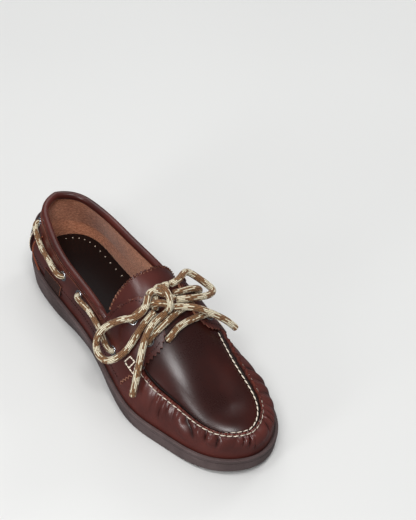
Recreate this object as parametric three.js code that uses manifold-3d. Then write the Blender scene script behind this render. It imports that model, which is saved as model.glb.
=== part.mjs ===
// A right boat shoe of hand-sewn moccasin make, standing empty on its sole.
// The frame is in millimetres: +X to the toe, +Y to the medial side, +Z up, with the
// origin on the floor under the middle of the outsole.
//
// Everything leather follows one surface, the last: ribs that rise from the edge of the
// sole and lean over to a spine above the foot. A rib is named by its side (LATERAL or
// MEDIAL) and by t, its share of the way round that side from the heel's back (0) to the
// toe's tip (1). A place on a rib is v, from the sole (0) to the spine (1), and lift is
// the height over the leather's outer face.
import * as THREE from "three";
import { mergeVertices } from "three/addons/utils/BufferGeometryUtils.js";
import Module from "manifold-3d";

const wasm = await Module();
wasm.setup();

// ---------------------------------------------------------------- driving dimensions
const LENGTH = 290; // of the outsole
const WIDTH = 104; // of the outsole, at the ball
const WALL = 2.2; // of the upper's leather
const GAP = 0.35; // left between pieces that touch
const RIM = 3.0; // width of the outsole's lip, outside the upper
const RIM_HEIGHT = 1.8;
const FEATHER_INSET = RIM + 0.5; // from the outsole's edge to the upper's outer face
const SEAM_RIDGE = 2.4; // how far the apron seam stands proud
const SEAM_HALF = 0.035; // half the seam's width, as a share of a rib
const TOE_SPRING = 6;
const ARCH_RISE = 3;
const LACE_RADIUS = 2.3; // where it is pulled tight along the sides
const BOW_RADIUS = 2.8; // where it is slack, over the throat and in the bow
const LATERAL = -1;
const MEDIAL = 1;
const SIDES = [
  { side: LATERAL, word: "lateral" },
  { side: MEDIAL, word: "medial" },
];

// ---------------------------------------------------------------- curves from tables
// A smooth curve through the given values, with no bend at its two ends.
function spline(knots, values) {
  const last = knots.length - 1;
  const bend = new Array(last + 1).fill(0);
  const carry = new Array(last + 1).fill(0);
  for (let i = 1; i < last; i++) {
    const both = knots[i + 1] - knots[i - 1];
    const share = (knots[i] - knots[i - 1]) / both;
    const after = (values[i + 1] - values[i]) / (knots[i + 1] - knots[i]);
    const before = (values[i] - values[i - 1]) / (knots[i] - knots[i - 1]);
    const pivot = share * bend[i - 1] + 2;
    bend[i] = (share - 1) / pivot;
    carry[i] = ((6 * (after - before)) / both - share * carry[i - 1]) / pivot;
  }
  for (let i = last - 1; i >= 0; i--) bend[i] = bend[i] * bend[i + 1] + carry[i];
  return (at) => {
    const x = Math.min(Math.max(at, knots[0]), knots[last]);
    let i = 0;
    while (i < last - 1 && x > knots[i + 1]) i++;
    const step = knots[i + 1] - knots[i];
    const b = (x - knots[i]) / step;
    const a = 1 - b;
    const sag = (a ** 3 - a) * bend[i] + (b ** 3 - b) * bend[i + 1];
    return a * values[i] + b * values[i + 1] + (sag * step * step) / 6;
  };
}

// One column of a table as a smooth function of another.
function column(rows, key, value) {
  return spline(
    rows.map((row) => row[key]),
    rows.map((row) => row[value]),
  );
}

function smoothstep(from, to, x) {
  const s = Math.min(Math.max((x - from) / (to - from), 0), 1);
  return s * s * (3 - 2 * s);
}

// ---------------------------------------------------------------- the sole's outline
// x is a share of half the length, y a share of half the width.
const OUTLINE = [
  { at: "heel back", x: -1.0, y: 0.0 },
  { at: "heel corner, lateral", x: -0.93, y: -0.48 },
  { at: "heel, lateral", x: -0.74, y: -0.69 },
  { at: "heel breast, lateral", x: -0.45, y: -0.75 },
  { at: "waist, lateral", x: -0.1, y: -0.815 },
  { at: "small toe joint", x: 0.3, y: -1.0 },
  { at: "small toes", x: 0.59, y: -0.84 },
  { at: "toe corner, lateral", x: 0.86, y: -0.55 },
  { at: "toe tip", x: 1.0, y: 0.06 },
  { at: "toe corner, medial", x: 0.91, y: 0.66 },
  { at: "big toe", x: 0.68, y: 0.97 },
  { at: "big toe joint", x: 0.4, y: 0.99 },
  { at: "ball's back, medial", x: 0.1, y: 0.84 },
  { at: "waist, medial", x: -0.2, y: 0.72 },
  { at: "heel breast, medial", x: -0.5, y: 0.66 },
  { at: "heel, medial", x: -0.76, y: 0.67 },
  { at: "heel corner, medial", x: -0.93, y: 0.48 },
];
const TOE_TIP = OUTLINE.findIndex((row) => row.at === "toe tip");

// A closed smooth loop through the outline's points, as a function of the point's number,
// stretched to the sole's length and width.
function closedLoop(rows) {
  const knots = [];
  for (let i = -rows.length; i <= 2 * rows.length; i++) knots.push(i);
  const around = (key) => spline(knots, knots.map((i) => rows[(i + rows.length) % rows.length][key]));
  const [x, y] = [stretched(around("x"), LENGTH), stretched(around("y"), WIDTH)];
  return (at) => new THREE.Vector2(x(at), y(at));
}

// The same curve, moved and scaled to span a size about zero.
function stretched(curve, size) {
  const values = Array.from({ length: 2000 }, (_, i) => curve((i * OUTLINE.length) / 2000));
  const [low, high] = [Math.min(...values), Math.max(...values)];
  return (at) => ((curve(at) - (low + high) / 2) * size) / (high - low);
}

// One side of the outline, by its share of the way from the heel's back to the toe's tip.
function outlineSide(loop, from, to) {
  const STEPS = 400;
  const numbers = [from];
  const lengths = [0];
  for (let i = 1; i <= STEPS; i++) {
    const number = from + ((to - from) * i) / STEPS;
    const stride = loop(number).distanceTo(loop(numbers[i - 1]));
    numbers.push(number);
    lengths.push(lengths[i - 1] + stride);
  }
  return spline(
    lengths.map((length) => length / lengths[STEPS]),
    numbers,
  );
}

const loop = closedLoop(OUTLINE);
const numberOnSide = {
  [LATERAL]: outlineSide(loop, 0, TOE_TIP),
  [MEDIAL]: outlineSide(loop, OUTLINE.length, TOE_TIP),
};

// A point of the outsole's edge in plan, and the way out from it.
function edgeAt(side, t) {
  const number = numberOnSide[side](t);
  const nudge = 0.01;
  const point = loop(number);
  const along = loop(number + nudge).sub(loop(number - nudge)).normalize();
  return { point, out: new THREE.Vector2(along.y, -along.x) };
}

// ---------------------------------------------------------------- the last's heights
// deck: the height that the upper stands on, over the floor.
const DECK = [
  { x: -145, deck: 23 },
  { x: -100, deck: 23 },
  { x: -45, deck: 21.5 },
  { x: 10, deck: 17.5 },
  { x: 60, deck: 14 },
  { x: 105, deck: 13.5 },
  { x: 145, deck: 17 },
];
const deckAt = column(DECK, "x", "deck");

// The underside: flat under heel and ball, hollow at the arch, and sprung at the toe.
function underside(x) {
  const arch = smoothstep(-85, -45, x) * (1 - smoothstep(-35, 15, x));
  const sprung = Math.max(0, (x - 80) / (LENGTH / 2 - 80));
  return ARCH_RISE * arch + TOE_SPRING * sprung ** 2;
}

// spineX, spineY, spineZ: where the ribs of both sides meet. full: how square a rib's
// shoulder is (2 is round). swell: how far it bulges under the collar, and cup: how far
// it bulges over the sole. tuck: how far the sole's bottom edge lies inside its lip.
const RIBS = [
  { t: 0.0, spineX: -111, spineY: 0, spineZ: 110, full: 2.6, swell: 3.0, cup: 1.3, tuck: 2 }, // heel
  { t: 0.12, spineX: -102, spineY: 0, spineZ: 109, full: 1.6, swell: 3.0, cup: 3, tuck: 3 },
  { t: 0.25, spineX: -74, spineY: 0, spineZ: 108, full: 2.1, swell: 2.5, cup: 1.5, tuck: 4 },
  { t: 0.4, spineX: -26, spineY: 0, spineZ: 103, full: 2.6, swell: 1.5, cup: 0, tuck: 5 }, // waist
  { t: 0.53, spineX: 14, spineY: 1, spineZ: 92, full: 2.3, swell: 1.0, cup: 0, tuck: 3.5 },
  { t: 0.64, spineX: 43, spineY: 2, spineZ: 73, full: 2.1, swell: 2.0, cup: 0, tuck: 2 }, // throat
  { t: 0.75, spineX: 68, spineY: 3, spineZ: 57, full: 2.15, swell: 3.0, cup: 0, tuck: 1 },
  { t: 0.88, spineX: 93, spineY: 4, spineZ: 45, full: 2.9, swell: 3.0, cup: 0, tuck: 0.6 },
  { t: 1.0, spineX: 104, spineY: 4, spineZ: 42, full: 3.0, swell: 2.5, cup: 0, tuck: 0.5 }, // toe
];
const CUP_TOP = 0.34; // the v at which the cup's bulge ends
const spineX = column(RIBS, "t", "spineX");
const spineY = column(RIBS, "t", "spineY");
const spineZ = column(RIBS, "t", "spineZ");
const fullness = column(RIBS, "t", "full");
const swellAt = column(RIBS, "t", "swell");
const cupAt = column(RIBS, "t", "cup");
const tuckAt = column(RIBS, "t", "tuck");
const ridgeLine = column(RIBS, "spineX", "spineZ"); // the spine's height, by its x

// A point of the last. Near the spine a rib follows the spine's own slope, so that the
// two sides meet without a crease.
function skin(side, t, v, lift = 0) {
  const { point, out } = edgeAt(side, t);
  const angle = (v * Math.PI) / 2;
  const power = 2 / fullness(t);
  const over = 1 - Math.cos(angle) ** power;
  const up = Math.sin(angle) ** power;
  const cup = v < CUP_TOP ? cupAt(t) * Math.sin((Math.PI * v) / CUP_TOP) ** 2 : 0;
  const swell = swellAt(t) * Math.sin(Math.PI * v) ** 2 * (1 - v) + cup;
  const foot = new THREE.Vector2().copy(point).addScaledVector(out, lift - FEATHER_INSET);
  const top = new THREE.Vector2(spineX(t), spineY(t));
  const plan = foot.lerp(top, over).addScaledVector(out, swell);
  const base = deckAt(point.x) + GAP;
  const slope = (ridgeLine(plan.x) - ridgeLine(top.x)) * v ** 4;
  return new THREE.Vector3(plan.x, plan.y, base + (spineZ(t) + lift - base) * up + slope);
}

// The v at which a rib reaches a height, and the v at a distance short of the spine.
function vAtHeight(side, t, z) {
  const base = deckAt(edgeAt(side, t).point.x) + GAP;
  const share = Math.min((z - base) / (spineZ(t) - base), 1);
  return (2 / Math.PI) * Math.asin(share ** (fullness(t) / 2));
}
function vShortOfSpine(side, t, distance) {
  const foot = skin(side, t, 0);
  const reach = Math.hypot(spineX(t) - foot.x, spineY(t) - foot.y);
  const share = Math.min(distance / reach, 1);
  return (2 / Math.PI) * Math.acos(share ** (fullness(t) / 2));
}

// ---------------------------------------------------------------- the upper's edges
// Heights of the collar's top, over the floor.
const COLLAR = [
  { t: 0.0, z: 77 },
  { t: 0.1, z: 73.5 },
  { t: 0.25, z: 68 },
  { t: 0.4, z: 64.5 },
  { t: 0.5, z: 61 },
];
const MEDIAL_RISE = 1.5; // the collar stands higher on the medial side
const MEDIAL_SWELL = 2.5; // and how much more half way to the throat
const ROLL = { half: 3, tall: 6.5, out: 1 }; // the padded roll on top of the collar
const COLLAR_FRONT = 0.462; // t of the collar's front corner
const TAB_RISE = 0.08; // share of the side over which the edge climbs to the tab's top
const TAB = { back: 0.5, front: 0.655, low: 0.47, rest: 0.7, thick: 1.6 }; // the eyelet tabs
const THROAT_FRONT = 0.64; // t where the throat ends and the apron closes
const THROAT_HALF = 15; // half the gap between the tabs

const collarColumn = column(COLLAR, "t", "z");
function collarHeight(side, t) {
  if (side !== MEDIAL) return collarColumn(t);
  const swell = smoothstep(0.1, 0.28, t) * (1 - smoothstep(0.36, 0.5, t));
  return collarColumn(t) + MEDIAL_RISE * smoothstep(0, 0.2, t) + MEDIAL_SWELL * swell;
}
// The v of a tab's upper edge, and how far up a rib the upper goes.
const tabEdge = (side, t) => vShortOfSpine(side, t, THROAT_HALF);
function topOf(side, t) {
  if (t >= THROAT_FRONT) return 1;
  const collar = vAtHeight(side, t, collarHeight(side, t) - ROLL.tall - 2.8 * GAP);
  const rise = smoothstep(COLLAR_FRONT, COLLAR_FRONT + TAB_RISE, t);
  return collar + (tabEdge(side, t) - collar) * rise;
}

// How far up the ribs the apron seam runs. It stands proud from SEAM_START on.
const SEAM_START = 0.64;
const SEAM = [
  { t: 0.0, lateral: 0.25, medial: 0.25 },
  { t: 0.45, lateral: 0.25, medial: 0.25 },
  { t: 0.62, lateral: 0.44, medial: 0.52 },
  { t: 0.7, lateral: 0.445, medial: 0.595 },
  { t: 0.8, lateral: 0.475, medial: 0.655 },
  { t: 0.9, lateral: 0.48, medial: 0.63 },
  { t: 1.0, lateral: 0.53, medial: 0.53 },
];
const seamColumns = {
  [LATERAL]: column(SEAM, "t", "lateral"),
  [MEDIAL]: column(SEAM, "t", "medial"),
};
function seamOf(side, t) {
  return Math.min(seamColumns[side](t), topOf(side, t) - 0.12);
}

// Eyelets from the heel forward. The first two pairs carry the lace along each side.
const EYELETS = [
  { name: "heel", t: 0.095, v: 0.333, on: "quarter" },
  { name: "ankle", t: 0.289, v: 0.205, on: "quarter" },
  { name: "waist", t: 0.363, v: 0.185, on: "quarter" },
  { name: "instep", t: 0.545, v: 0.229, on: "quarter" },
  { name: "tie_back", t: 0.558, v: 0.605, on: "tab" },
  { name: "tie_front", t: 0.62, v: 0.64, on: "tab" },
];
const EYELET_OUTER = 4.4;
const EYELET_HOLE = 2.9;

// ---------------------------------------------------------------- solids from grids
function geometryOf(points, triangles) {
  const geometry = new THREE.BufferGeometry();
  const flat = new Float32Array(points.flatMap((p) => [p.x, p.y, p.z]));
  geometry.setAttribute("position", new THREE.BufferAttribute(flat, 3));
  geometry.setIndex(triangles);
  return withoutSlivers(mergeVertices(geometry, 1e-3));
}

// Drops the triangles that lost their width when points were merged.
function withoutSlivers(geometry) {
  const index = geometry.index.array;
  const kept = [];
  for (let i = 0; i < index.length; i += 3) {
    const [a, b, c] = index.subarray(i, i + 3);
    if (a !== b && b !== c && c !== a) kept.push(a, b, c);
  }
  geometry.setIndex(kept);
  return geometry;
}

// Two triangles for each cell of a grid of points; the corners run counterclockwise
// seen from outside.
function gridCells(rows, columns, first = 0) {
  const triangles = [];
  for (let i = 0; i < rows - 1; i++) {
    for (let j = 0; j < columns - 1; j++) {
      const a = first + i * columns + j;
      const b = a + columns;
      triangles.push(a, b, b + 1, a, b + 1, a + 1);
    }
  }
  return triangles;
}

// A closed solid whose sections are closed rings of points, with flat ends.
function loft(rings) {
  const count = rings[0].length;
  const points = rings.flatMap((ring) => [...ring, ring[0].clone()]);
  const triangles = gridCells(rings.length, count + 1);
  const ends = [rings[0], rings[rings.length - 1]];
  ends.forEach((ring, which) => {
    const middle = new THREE.Vector3();
    ring.forEach((p) => middle.add(p));
    middle.divideScalar(count);
    const first = points.length;
    points.push(middle, ...ring);
    for (let j = 0; j < count; j++) {
      const here = first + 1 + j;
      const next = first + 1 + ((j + 1) % count);
      if (which === 0) triangles.push(first, here, next);
      else triangles.push(first, next, here);
    }
  });
  return geometryOf(points, triangles);
}

const steps = (from, to, count) =>
  Array.from({ length: count + 1 }, (_, i) => from + ((to - from) * i) / count);

// The t of every rib: close together around the throat.
const ribTs = [...steps(0, 0.46, 15), ...steps(0.46, 0.68, 15).slice(1), ...steps(0.68, 1, 13).slice(1)];

// A solid made of closed ribs: rib(side, t) gives points from the keel, round the outside,
// to the deck, and the ribs of both sides share those two ends.
function ribbedSolid(rib) {
  const points = [];
  const triangles = [];
  for (const side of [LATERAL, MEDIAL]) {
    const grid = ribTs.map((t) => rib(side, t));
    const cells = gridCells(grid.length, grid[0].length, points.length);
    points.push(...grid.flat());
    if (side === MEDIAL) turnRound(cells);
    triangles.push(...cells);
  }
  return geometryOf(points, triangles);
}

function turnRound(triangles) {
  for (let i = 0; i < triangles.length; i += 3) {
    [triangles[i + 1], triangles[i + 2]] = [triangles[i + 2], triangles[i + 1]];
  }
}

// A sheet with a thickness: outer and inner are grids of the same size.
function sheetSolid(outer, inner) {
  const rows = outer.length;
  const columns = outer[0].length;
  const size = rows * columns;
  const triangles = gridCells(rows, columns);
  const back = gridCells(rows, columns, size);
  turnRound(back);
  triangles.push(...back);
  const border = [];
  for (let j = 0; j < columns - 1; j++) border.push(j);
  for (let i = 0; i < rows - 1; i++) border.push(i * columns + columns - 1);
  for (let j = columns - 1; j > 0; j--) border.push((rows - 1) * columns + j);
  for (let i = rows - 1; i > 0; i--) border.push(i * columns);
  border.forEach((a, i) => {
    const b = border[(i + 1) % border.length];
    triangles.push(a, b, b + size, a, b + size, a + size);
  });
  return geometryOf([...outer.flat(), ...inner.flat()], triangles);
}

// ---------------------------------------------------------------- booleans
function solidOf(geometry) {
  const bare = mergeVertices(geometry.clone().deleteAttribute("normal").deleteAttribute("uv"), 1e-3);
  return new wasm.Manifold(
    new wasm.Mesh({
      numProp: 3,
      vertProperties: bare.attributes.position.array,
      triVerts: new Uint32Array(bare.index.array),
    }),
  );
}
function geometryFrom(solid) {
  const mesh = solid.getMesh();
  const geometry = new THREE.BufferGeometry();
  geometry.setAttribute("position", new THREE.BufferAttribute(mesh.vertProperties, 3));
  geometry.setIndex(new THREE.BufferAttribute(mesh.triVerts, 1));
  return geometry;
}

// ---------------------------------------------------------------- materials
const finish = (color, roughness, metalness = 0) =>
  new THREE.MeshStandardMaterial({ color, roughness, metalness });
const LEATHER = finish(0x4a211d, 0.35);
const LINING = finish(0x2a1a17, 0.7);
const RUBBER = finish(0x4b3a37, 0.6);
const METAL = finish(0xc9cbd0, 0.25, 1);
const CORD = finish(0xb39468, 0.8);

const shoe = new THREE.Group();
function add(name, geometry, material) {
  const mesh = new THREE.Mesh(geometry, material);
  mesh.name = name;
  shoe.add(mesh);
  return mesh;
}

// ---------------------------------------------------------------- outsole and insole
const BEVEL = 1.5; // of the sole's bottom edge
const GROOVE = { below: 3.6, half: 0.8, deep: 0.9 }; // the line round the sole under its lip

function middleOf(t, z) {
  return new THREE.Vector3(spineX(t), spineY(t), z);
}
function soleRib(side, t) {
  const { point, out } = edgeAt(side, t);
  const at = (inset, z) => new THREE.Vector3(point.x - out.x * inset, point.y - out.y * inset, z);
  const bottom = underside(point.x);
  const deck = deckAt(point.x);
  const groove = deck + RIM_HEIGHT - GROOVE.below;
  const tuck = tuckAt(t);
  const middle = middleOf(t, 0);
  return [
    middle.clone().setZ(underside(middle.x)),
    at(tuck + BEVEL, bottom),
    at(tuck, bottom + BEVEL),
    at(0.3, groove - GROOVE.half),
    at(GROOVE.deep, groove),
    at(0, groove + GROOVE.half),
    at(0.4, deck + RIM_HEIGHT),
    at(RIM - 0.4, deck + RIM_HEIGHT),
    at(RIM, deck),
    middle.clone().setZ(deckAt(middle.x)),
  ];
}
add("outsole", ribbedSolid(soleRib), RUBBER);

const INSOLE_THICK = 3;
function insoleRib(side, t) {
  const { point, out } = edgeAt(side, t);
  const inset = FEATHER_INSET + WALL + 0.5;
  const at = (extra, z) =>
    new THREE.Vector3(point.x - out.x * (inset + extra), point.y - out.y * (inset + extra), z);
  const base = deckAt(point.x) + GAP;
  const middle = middleOf(t, 0);
  const middleBase = deckAt(middle.x) + GAP;
  return [
    middle.clone().setZ(middleBase),
    at(0, base),
    at(0, base + INSOLE_THICK - 0.8),
    at(0.8, base + INSOLE_THICK),
    middle.clone().setZ(middleBase + INSOLE_THICK),
  ];
}
add("insole", ribbedSolid(insoleRib), LINING);

// ---------------------------------------------------------------- the upper
// The rows of a rib, as v: up to the seam, over its ridge, and on to the top edge.
const ROWS_BELOW = 4;
const ROWS_ABOVE = 4;
const ROW_COUNT = ROWS_BELOW + ROWS_ABOVE + 3;
function rowsOf(side, t) {
  const top = topOf(side, t);
  const seam = seamOf(side, t);
  const low = seam - SEAM_HALF;
  const high = seam + SEAM_HALF;
  const ridge = SEAM_RIDGE * smoothstep(SEAM_START - 0.01, SEAM_START + 0.02, t);
  const rows = [];
  for (let i = 0; i <= ROWS_BELOW; i++) rows.push({ v: (low * i) / ROWS_BELOW, lift: 0 });
  rows.push({ v: seam, lift: ridge });
  for (let i = 0; i <= ROWS_ABOVE; i++) {
    rows.push({ v: high + ((top - high) * i) / ROWS_ABOVE, lift: 0 });
  }
  return rows;
}

// One side of the leather shell: outer and inner faces, closed along the sole, and along
// the top wherever the shell is open.
function shellSide(side, first) {
  const outer = ribTs.flatMap((t) => rowsOf(side, t).map((row) => skin(side, t, row.v, row.lift)));
  const inner = ribTs.flatMap((t) => rowsOf(side, t).map((row) => skin(side, t, row.v, -WALL)));
  const size = outer.length;
  const cells = gridCells(ribTs.length, ROW_COUNT, first);
  const back = gridCells(ribTs.length, ROW_COUNT, first + size);
  turnRound(back);
  cells.push(...back);
  ribTs.slice(1).forEach((_, i) => {
    const foot = first + i * ROW_COUNT;
    const footNext = foot + ROW_COUNT;
    cells.push(footNext, foot, foot + size, footNext, foot + size, footNext + size);
    const top = foot + ROW_COUNT - 1;
    const topNext = top + ROW_COUNT;
    if (topOf(side, ribTs[i]) < 1) {
      cells.push(top, topNext, topNext + size, top, topNext + size, top + size);
    }
  });
  if (side === MEDIAL) turnRound(cells);
  return { points: [...outer, ...inner], cells };
}

function shell() {
  const lateral = shellSide(LATERAL, 0);
  const medial = shellSide(MEDIAL, lateral.points.length);
  return geometryOf([...lateral.points, ...medial.points], [...lateral.cells, ...medial.cells]);
}

// A place on the leather as a frame: Z out of it, the origin at the given lift.
function frameAt(side, place, lift) {
  const nudge = 0.004;
  const along = skin(side, place.t + nudge, place.v).sub(skin(side, place.t - nudge, place.v));
  const up = skin(side, place.t, place.v + nudge).sub(skin(side, place.t, place.v - nudge));
  const out = along.cross(up).multiplyScalar(-side).normalize();
  const turn = new THREE.Quaternion().setFromUnitVectors(new THREE.Vector3(0, 0, 1), out);
  const at = skin(side, place.t, place.v).addScaledVector(out, lift);
  return new THREE.Matrix4().compose(at, turn, new THREE.Vector3(1, 1, 1));
}

function drill(side, place) {
  const hole = new THREE.CylinderGeometry(EYELET_HOLE + 0.3, EYELET_HOLE + 0.3, 10, 10);
  return hole.rotateX(Math.PI / 2).applyMatrix4(frameAt(side, place, 0));
}
function drilled(geometry, sides, places) {
  let solid = solidOf(geometry);
  for (const side of sides) {
    for (const place of places) solid = solid.subtract(solidOf(drill(side, place)));
  }
  return geometryFrom(solid);
}
add("upper", drilled(shell(), [LATERAL, MEDIAL], EYELETS), LEATHER);

// ---------------------------------------------------------------- tongue and tabs
// A sheet that follows one side of the last, between two lifts. The edges low and high
// give v for each t.
function sideSheet(side, ts, low, high, rows, inner, outer) {
  const grid = (lift) =>
    ts.map((t) => {
      const from = low(t);
      const to = high(t);
      return Array.from({ length: rows + 1 }, (_, j) =>
        skin(side, t, from + ((to - from) * j) / rows, lift),
      );
    });
  const faces = side === LATERAL ? [outer, inner] : [inner, outer];
  return sheetSolid(...faces.map(grid));
}
// The tongue lies under tabs and apron, from side to side over the spine.
const TONGUE = { back: 0.468, front: 0.66, low: 0.38, thick: 2, under: WALL + 1.3 };
function tongue() {
  const ts = steps(TONGUE.back, TONGUE.front, 10);
  const across = steps(-1, 1, 12);
  const grid = (lift) =>
    ts.map((t) =>
      across.map((s) => {
        const side = s < 0 ? LATERAL : MEDIAL;
        return skin(side, t, 1 - Math.abs(s) * (1 - TONGUE.low), lift);
      }),
    );
  return sheetSolid(grid(-TONGUE.under), grid(-TONGUE.under - TONGUE.thick));
}
add("tongue", tongue(), LEATHER);

function tab(side) {
  const ts = steps(TAB.back, TAB.front, 8);
  const low = (t) => Math.max(TAB.low, seamColumns[side](t) + SEAM_HALF + 0.03);
  const high = (t) => topOf(side, Math.min(t, THROAT_FRONT - 0.001));
  const sheet = sideSheet(side, ts, low, high, 5, TAB.rest, TAB.rest + TAB.thick);
  return drilled(sheet, [side], EYELETS.filter((place) => place.on === "tab"));
}
for (const { side, word } of SIDES) add(`tab_${word}`, tab(side), LEATHER);

// ---------------------------------------------------------------- collar and backstay
// The padded roll that caps the collar, from the lateral front corner round the heel.
function collarRoll() {
  const rings = [];
  const ts = [...steps(COLLAR_FRONT, 0, 18), ...steps(0, COLLAR_FRONT, 18).slice(1)];
  ts.forEach((t, i) => {
    const side = i <= 18 ? LATERAL : MEDIAL;
    const v = vAtHeight(side, t, collarHeight(side, t) - ROLL.tall / 2);
    const middle = skin(side, t, v, ROLL.out - ROLL.half);
    const { out } = edgeAt(side, t);
    const ring = steps(2 * Math.PI, 0, 10).slice(1).map((angle) => {
      const across = ROLL.half * Math.sign(Math.cos(angle)) * Math.abs(Math.cos(angle)) ** 0.7;
      const up = (ROLL.tall / 2) * Math.sign(Math.sin(angle)) * Math.abs(Math.sin(angle)) ** 0.8;
      return new THREE.Vector3(
        middle.x + out.x * across,
        middle.y + out.y * across,
        middle.z + up,
      );
    });
    rings.push(ring);
  });
  return loft(rings);
}
add("collar_roll", collarRoll(), LEATHER);

// The patch over the heel's back, from one side to the other.
const PATCH = { reach: 0.105, low: 31, high: 56.4, thick: 2 };
function heelPatch() {
  const grid = (lift) =>
    steps(-PATCH.reach, PATCH.reach, 16).map((s) => {
      const side = s < 0 ? LATERAL : MEDIAL;
      const t = Math.abs(s);
      return steps(PATCH.low, PATCH.high, 5).map((z) => skin(side, t, vAtHeight(side, t, z), lift));
    });
  return sheetSolid(grid(GAP), grid(GAP + PATCH.thick));
}
add("heel_patch", heelPatch(), LEATHER);

// ---------------------------------------------------------------- eyelets
function eyeletRing() {
  const profile = [
    new THREE.Vector2(EYELET_HOLE, 0),
    new THREE.Vector2(EYELET_OUTER, 0),
    new THREE.Vector2(EYELET_OUTER - 0.2, 0.5),
    new THREE.Vector2((EYELET_HOLE + EYELET_OUTER) / 2, 0.9),
    new THREE.Vector2(EYELET_HOLE, 0.6),
    new THREE.Vector2(EYELET_HOLE, 0),
  ];
  return new THREE.LatheGeometry(profile, 10).rotateX(Math.PI / 2);
}
const restsAt = (place) => (place.on === "tab" ? TAB.rest + TAB.thick + GAP : GAP);
for (const { side, word } of SIDES) {
  for (const place of EYELETS) {
    const ring = add(`eyelet_${place.name}_${word}`, eyeletRing(), METAL);
    ring.applyMatrix4(frameAt(side, place, restsAt(place)));
  }
}

// ---------------------------------------------------------------- the lace
const LACE_SIDES = 8;
function lace(name, points, stepLength, radius) {
  const curve = new THREE.CatmullRomCurve3(points, false, "centripetal");
  const section = new THREE.Shape(
    steps(0, 2 * Math.PI, LACE_SIDES)
      .slice(1)
      .map((a) => new THREE.Vector2(radius * Math.cos(a), radius * Math.sin(a))),
  );
  const count = Math.round(curve.getLength() / stepLength);
  const options = { steps: count, extrudePath: curve, bevelEnabled: false };
  add(name, new THREE.ExtrudeGeometry(section, options), CORD);
}

// A point over a place on the leather, and one part of the way between two places.
function over(side, place, lift) {
  return new THREE.Vector3().setFromMatrixPosition(frameAt(side, place, lift));
}
function between(from, to, share) {
  return { t: from.t + (to.t - from.t) * share, v: from.v + (to.v - from.v) * share };
}
const eyelet = (name) => EYELETS.find((place) => place.name === name);

// A run along the shoe's side: out of one eyelet and into the next.
function sideRun(side, fromName, toName) {
  const [from, to] = [eyelet(fromName), eyelet(toName)];
  const ends = (place) => [over(side, place, -0.5), over(side, place, 2.6)];
  const middle = [0.07, 0.3, 0.5, 0.7, 0.93].map((share) =>
    over(side, between(from, to, share), share === 0.07 || share === 0.93 ? 4.6 : 3.6),
  );
  return [...ends(from), ...middle, ...ends(to).reverse()];
}
for (const { side, word } of SIDES) {
  lace(`lace_heel_run_${word}`, sideRun(side, "heel", "ankle"), 5, LACE_RADIUS);
  lace(`lace_waist_run_${word}`, sideRun(side, "waist", "instep"), 5, LACE_RADIUS);
}

// A bar over the throat: out of one side's front eyelet, to the edge of the other tab.
const BAR_SHIFT = 0.026; // how far along the tab the bar's other end lies
function bar(side, shift) {
  const from = eyelet("tie_front");
  const edge = (t) => topOf(side, Math.min(t, THROAT_FRONT - 0.001));
  const far = { t: from.t + shift, v: tabEdge(-side, from.t + shift) + 0.03 };
  return [
    over(side, from, 4.1),
    over(side, from, 5.4),
    over(side, { t: from.t + shift * 0.1, v: from.v + 0.06 }, 6.6),
    over(side, { t: from.t + shift * 0.3, v: edge(from.t) + 0.02 }, 5.6),
    over(-side, { t: from.t + shift * 0.7, v: 0.96 }, 3.4),
    over(-side, far, 3.2),
  ];
}
lace("lace_bar_back", bar(LATERAL, -BAR_SHIFT), 5, BOW_RADIUS);
lace("lace_bar_front", bar(MEDIAL, BAR_SHIFT), 5, BOW_RADIUS);

// The bow stands over the throat, with points chosen by hand, in the shoe's own frame.
const route = (...points) => points.map((point) => new THREE.Vector3(...point));
const KNOT = { x: 25, y: -6, z: 92.5, along: 9, across: 9.5, tall: 8 };
const knot = new THREE.IcosahedronGeometry(1, 2).scale(KNOT.along, KNOT.across, KNOT.tall);
add("lace_knot", knot, CORD).position.set(KNOT.x, KNOT.y, KNOT.z);

for (const { side, word } of SIDES) {
  const from = eyelet("tie_back");
  const toward = new THREE.Vector3(KNOT.x - 0.5, KNOT.y + side * 10.5, KNOT.z - 2);
  const low = [over(side, from, 4.1), over(side, from, 6)];
  const high = over(side, { t: from.t, v: from.v + 0.08 }, 7);
  lace(`lace_rise_${word}`, [...low, high, toward], 5, BOW_RADIUS);
}

lace(
  "lace_loop_lateral",
  route(
    [21.8, -17.2, 96.6],
    [27, -22.2, 94.4],
    [29.5, -27.5, 91.3],
    [28.5, -33.5, 88],
    [21.5, -37.5, 82],
    [14.5, -42.5, 75],
    [9.5, -47.5, 67.5],
    [7.5, -52, 59],
    [10, -55, 51.5],
    [16, -56, 47.5],
    [23, -55, 48],
    [29, -51.5, 52.5],
    [33, -46, 59],
    [34, -40, 66],
    [33, -33, 74],
    [32, -26, 81],
    [30.5, -16, 87],
  ),
  9,
  BOW_RADIUS,
);
lace(
  "lace_loop_medial",
  route(
    [20, 4, 96.5],
    [19, 14, 97],
    [14, 24, 95],
    [18, 31, 90],
    [25, 38, 83],
    [29, 40, 80],
    [33.5, 33, 82],
    [35, 19, 87.5],
    [33, 6, 90.5],
    [31.5, 2, 91],
  ),
  9,
  BOW_RADIUS,
);
lace(
  "lace_end_lateral",
  route(
    [35.5, -9, 86],
    [37.8, -20, 84.5],
    [41.5, -30, 80.5],
    [47.5, -39, 69],
    [53, -45.5, 57.5],
    [56.5, -52, 36],
  ),
  10,
  BOW_RADIUS,
);
lace(
  "lace_end_medial",
  route(
    [35, -3, 88.5],
    [39, 6.5, 87.5],
    [44.3, 15.5, 85],
    [50.5, 27, 77.5],
    [55.5, 35.5, 70.5],
    [59.5, 42.5, 62],
  ),
  10,
  BOW_RADIUS,
);

export default shoe;
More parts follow.
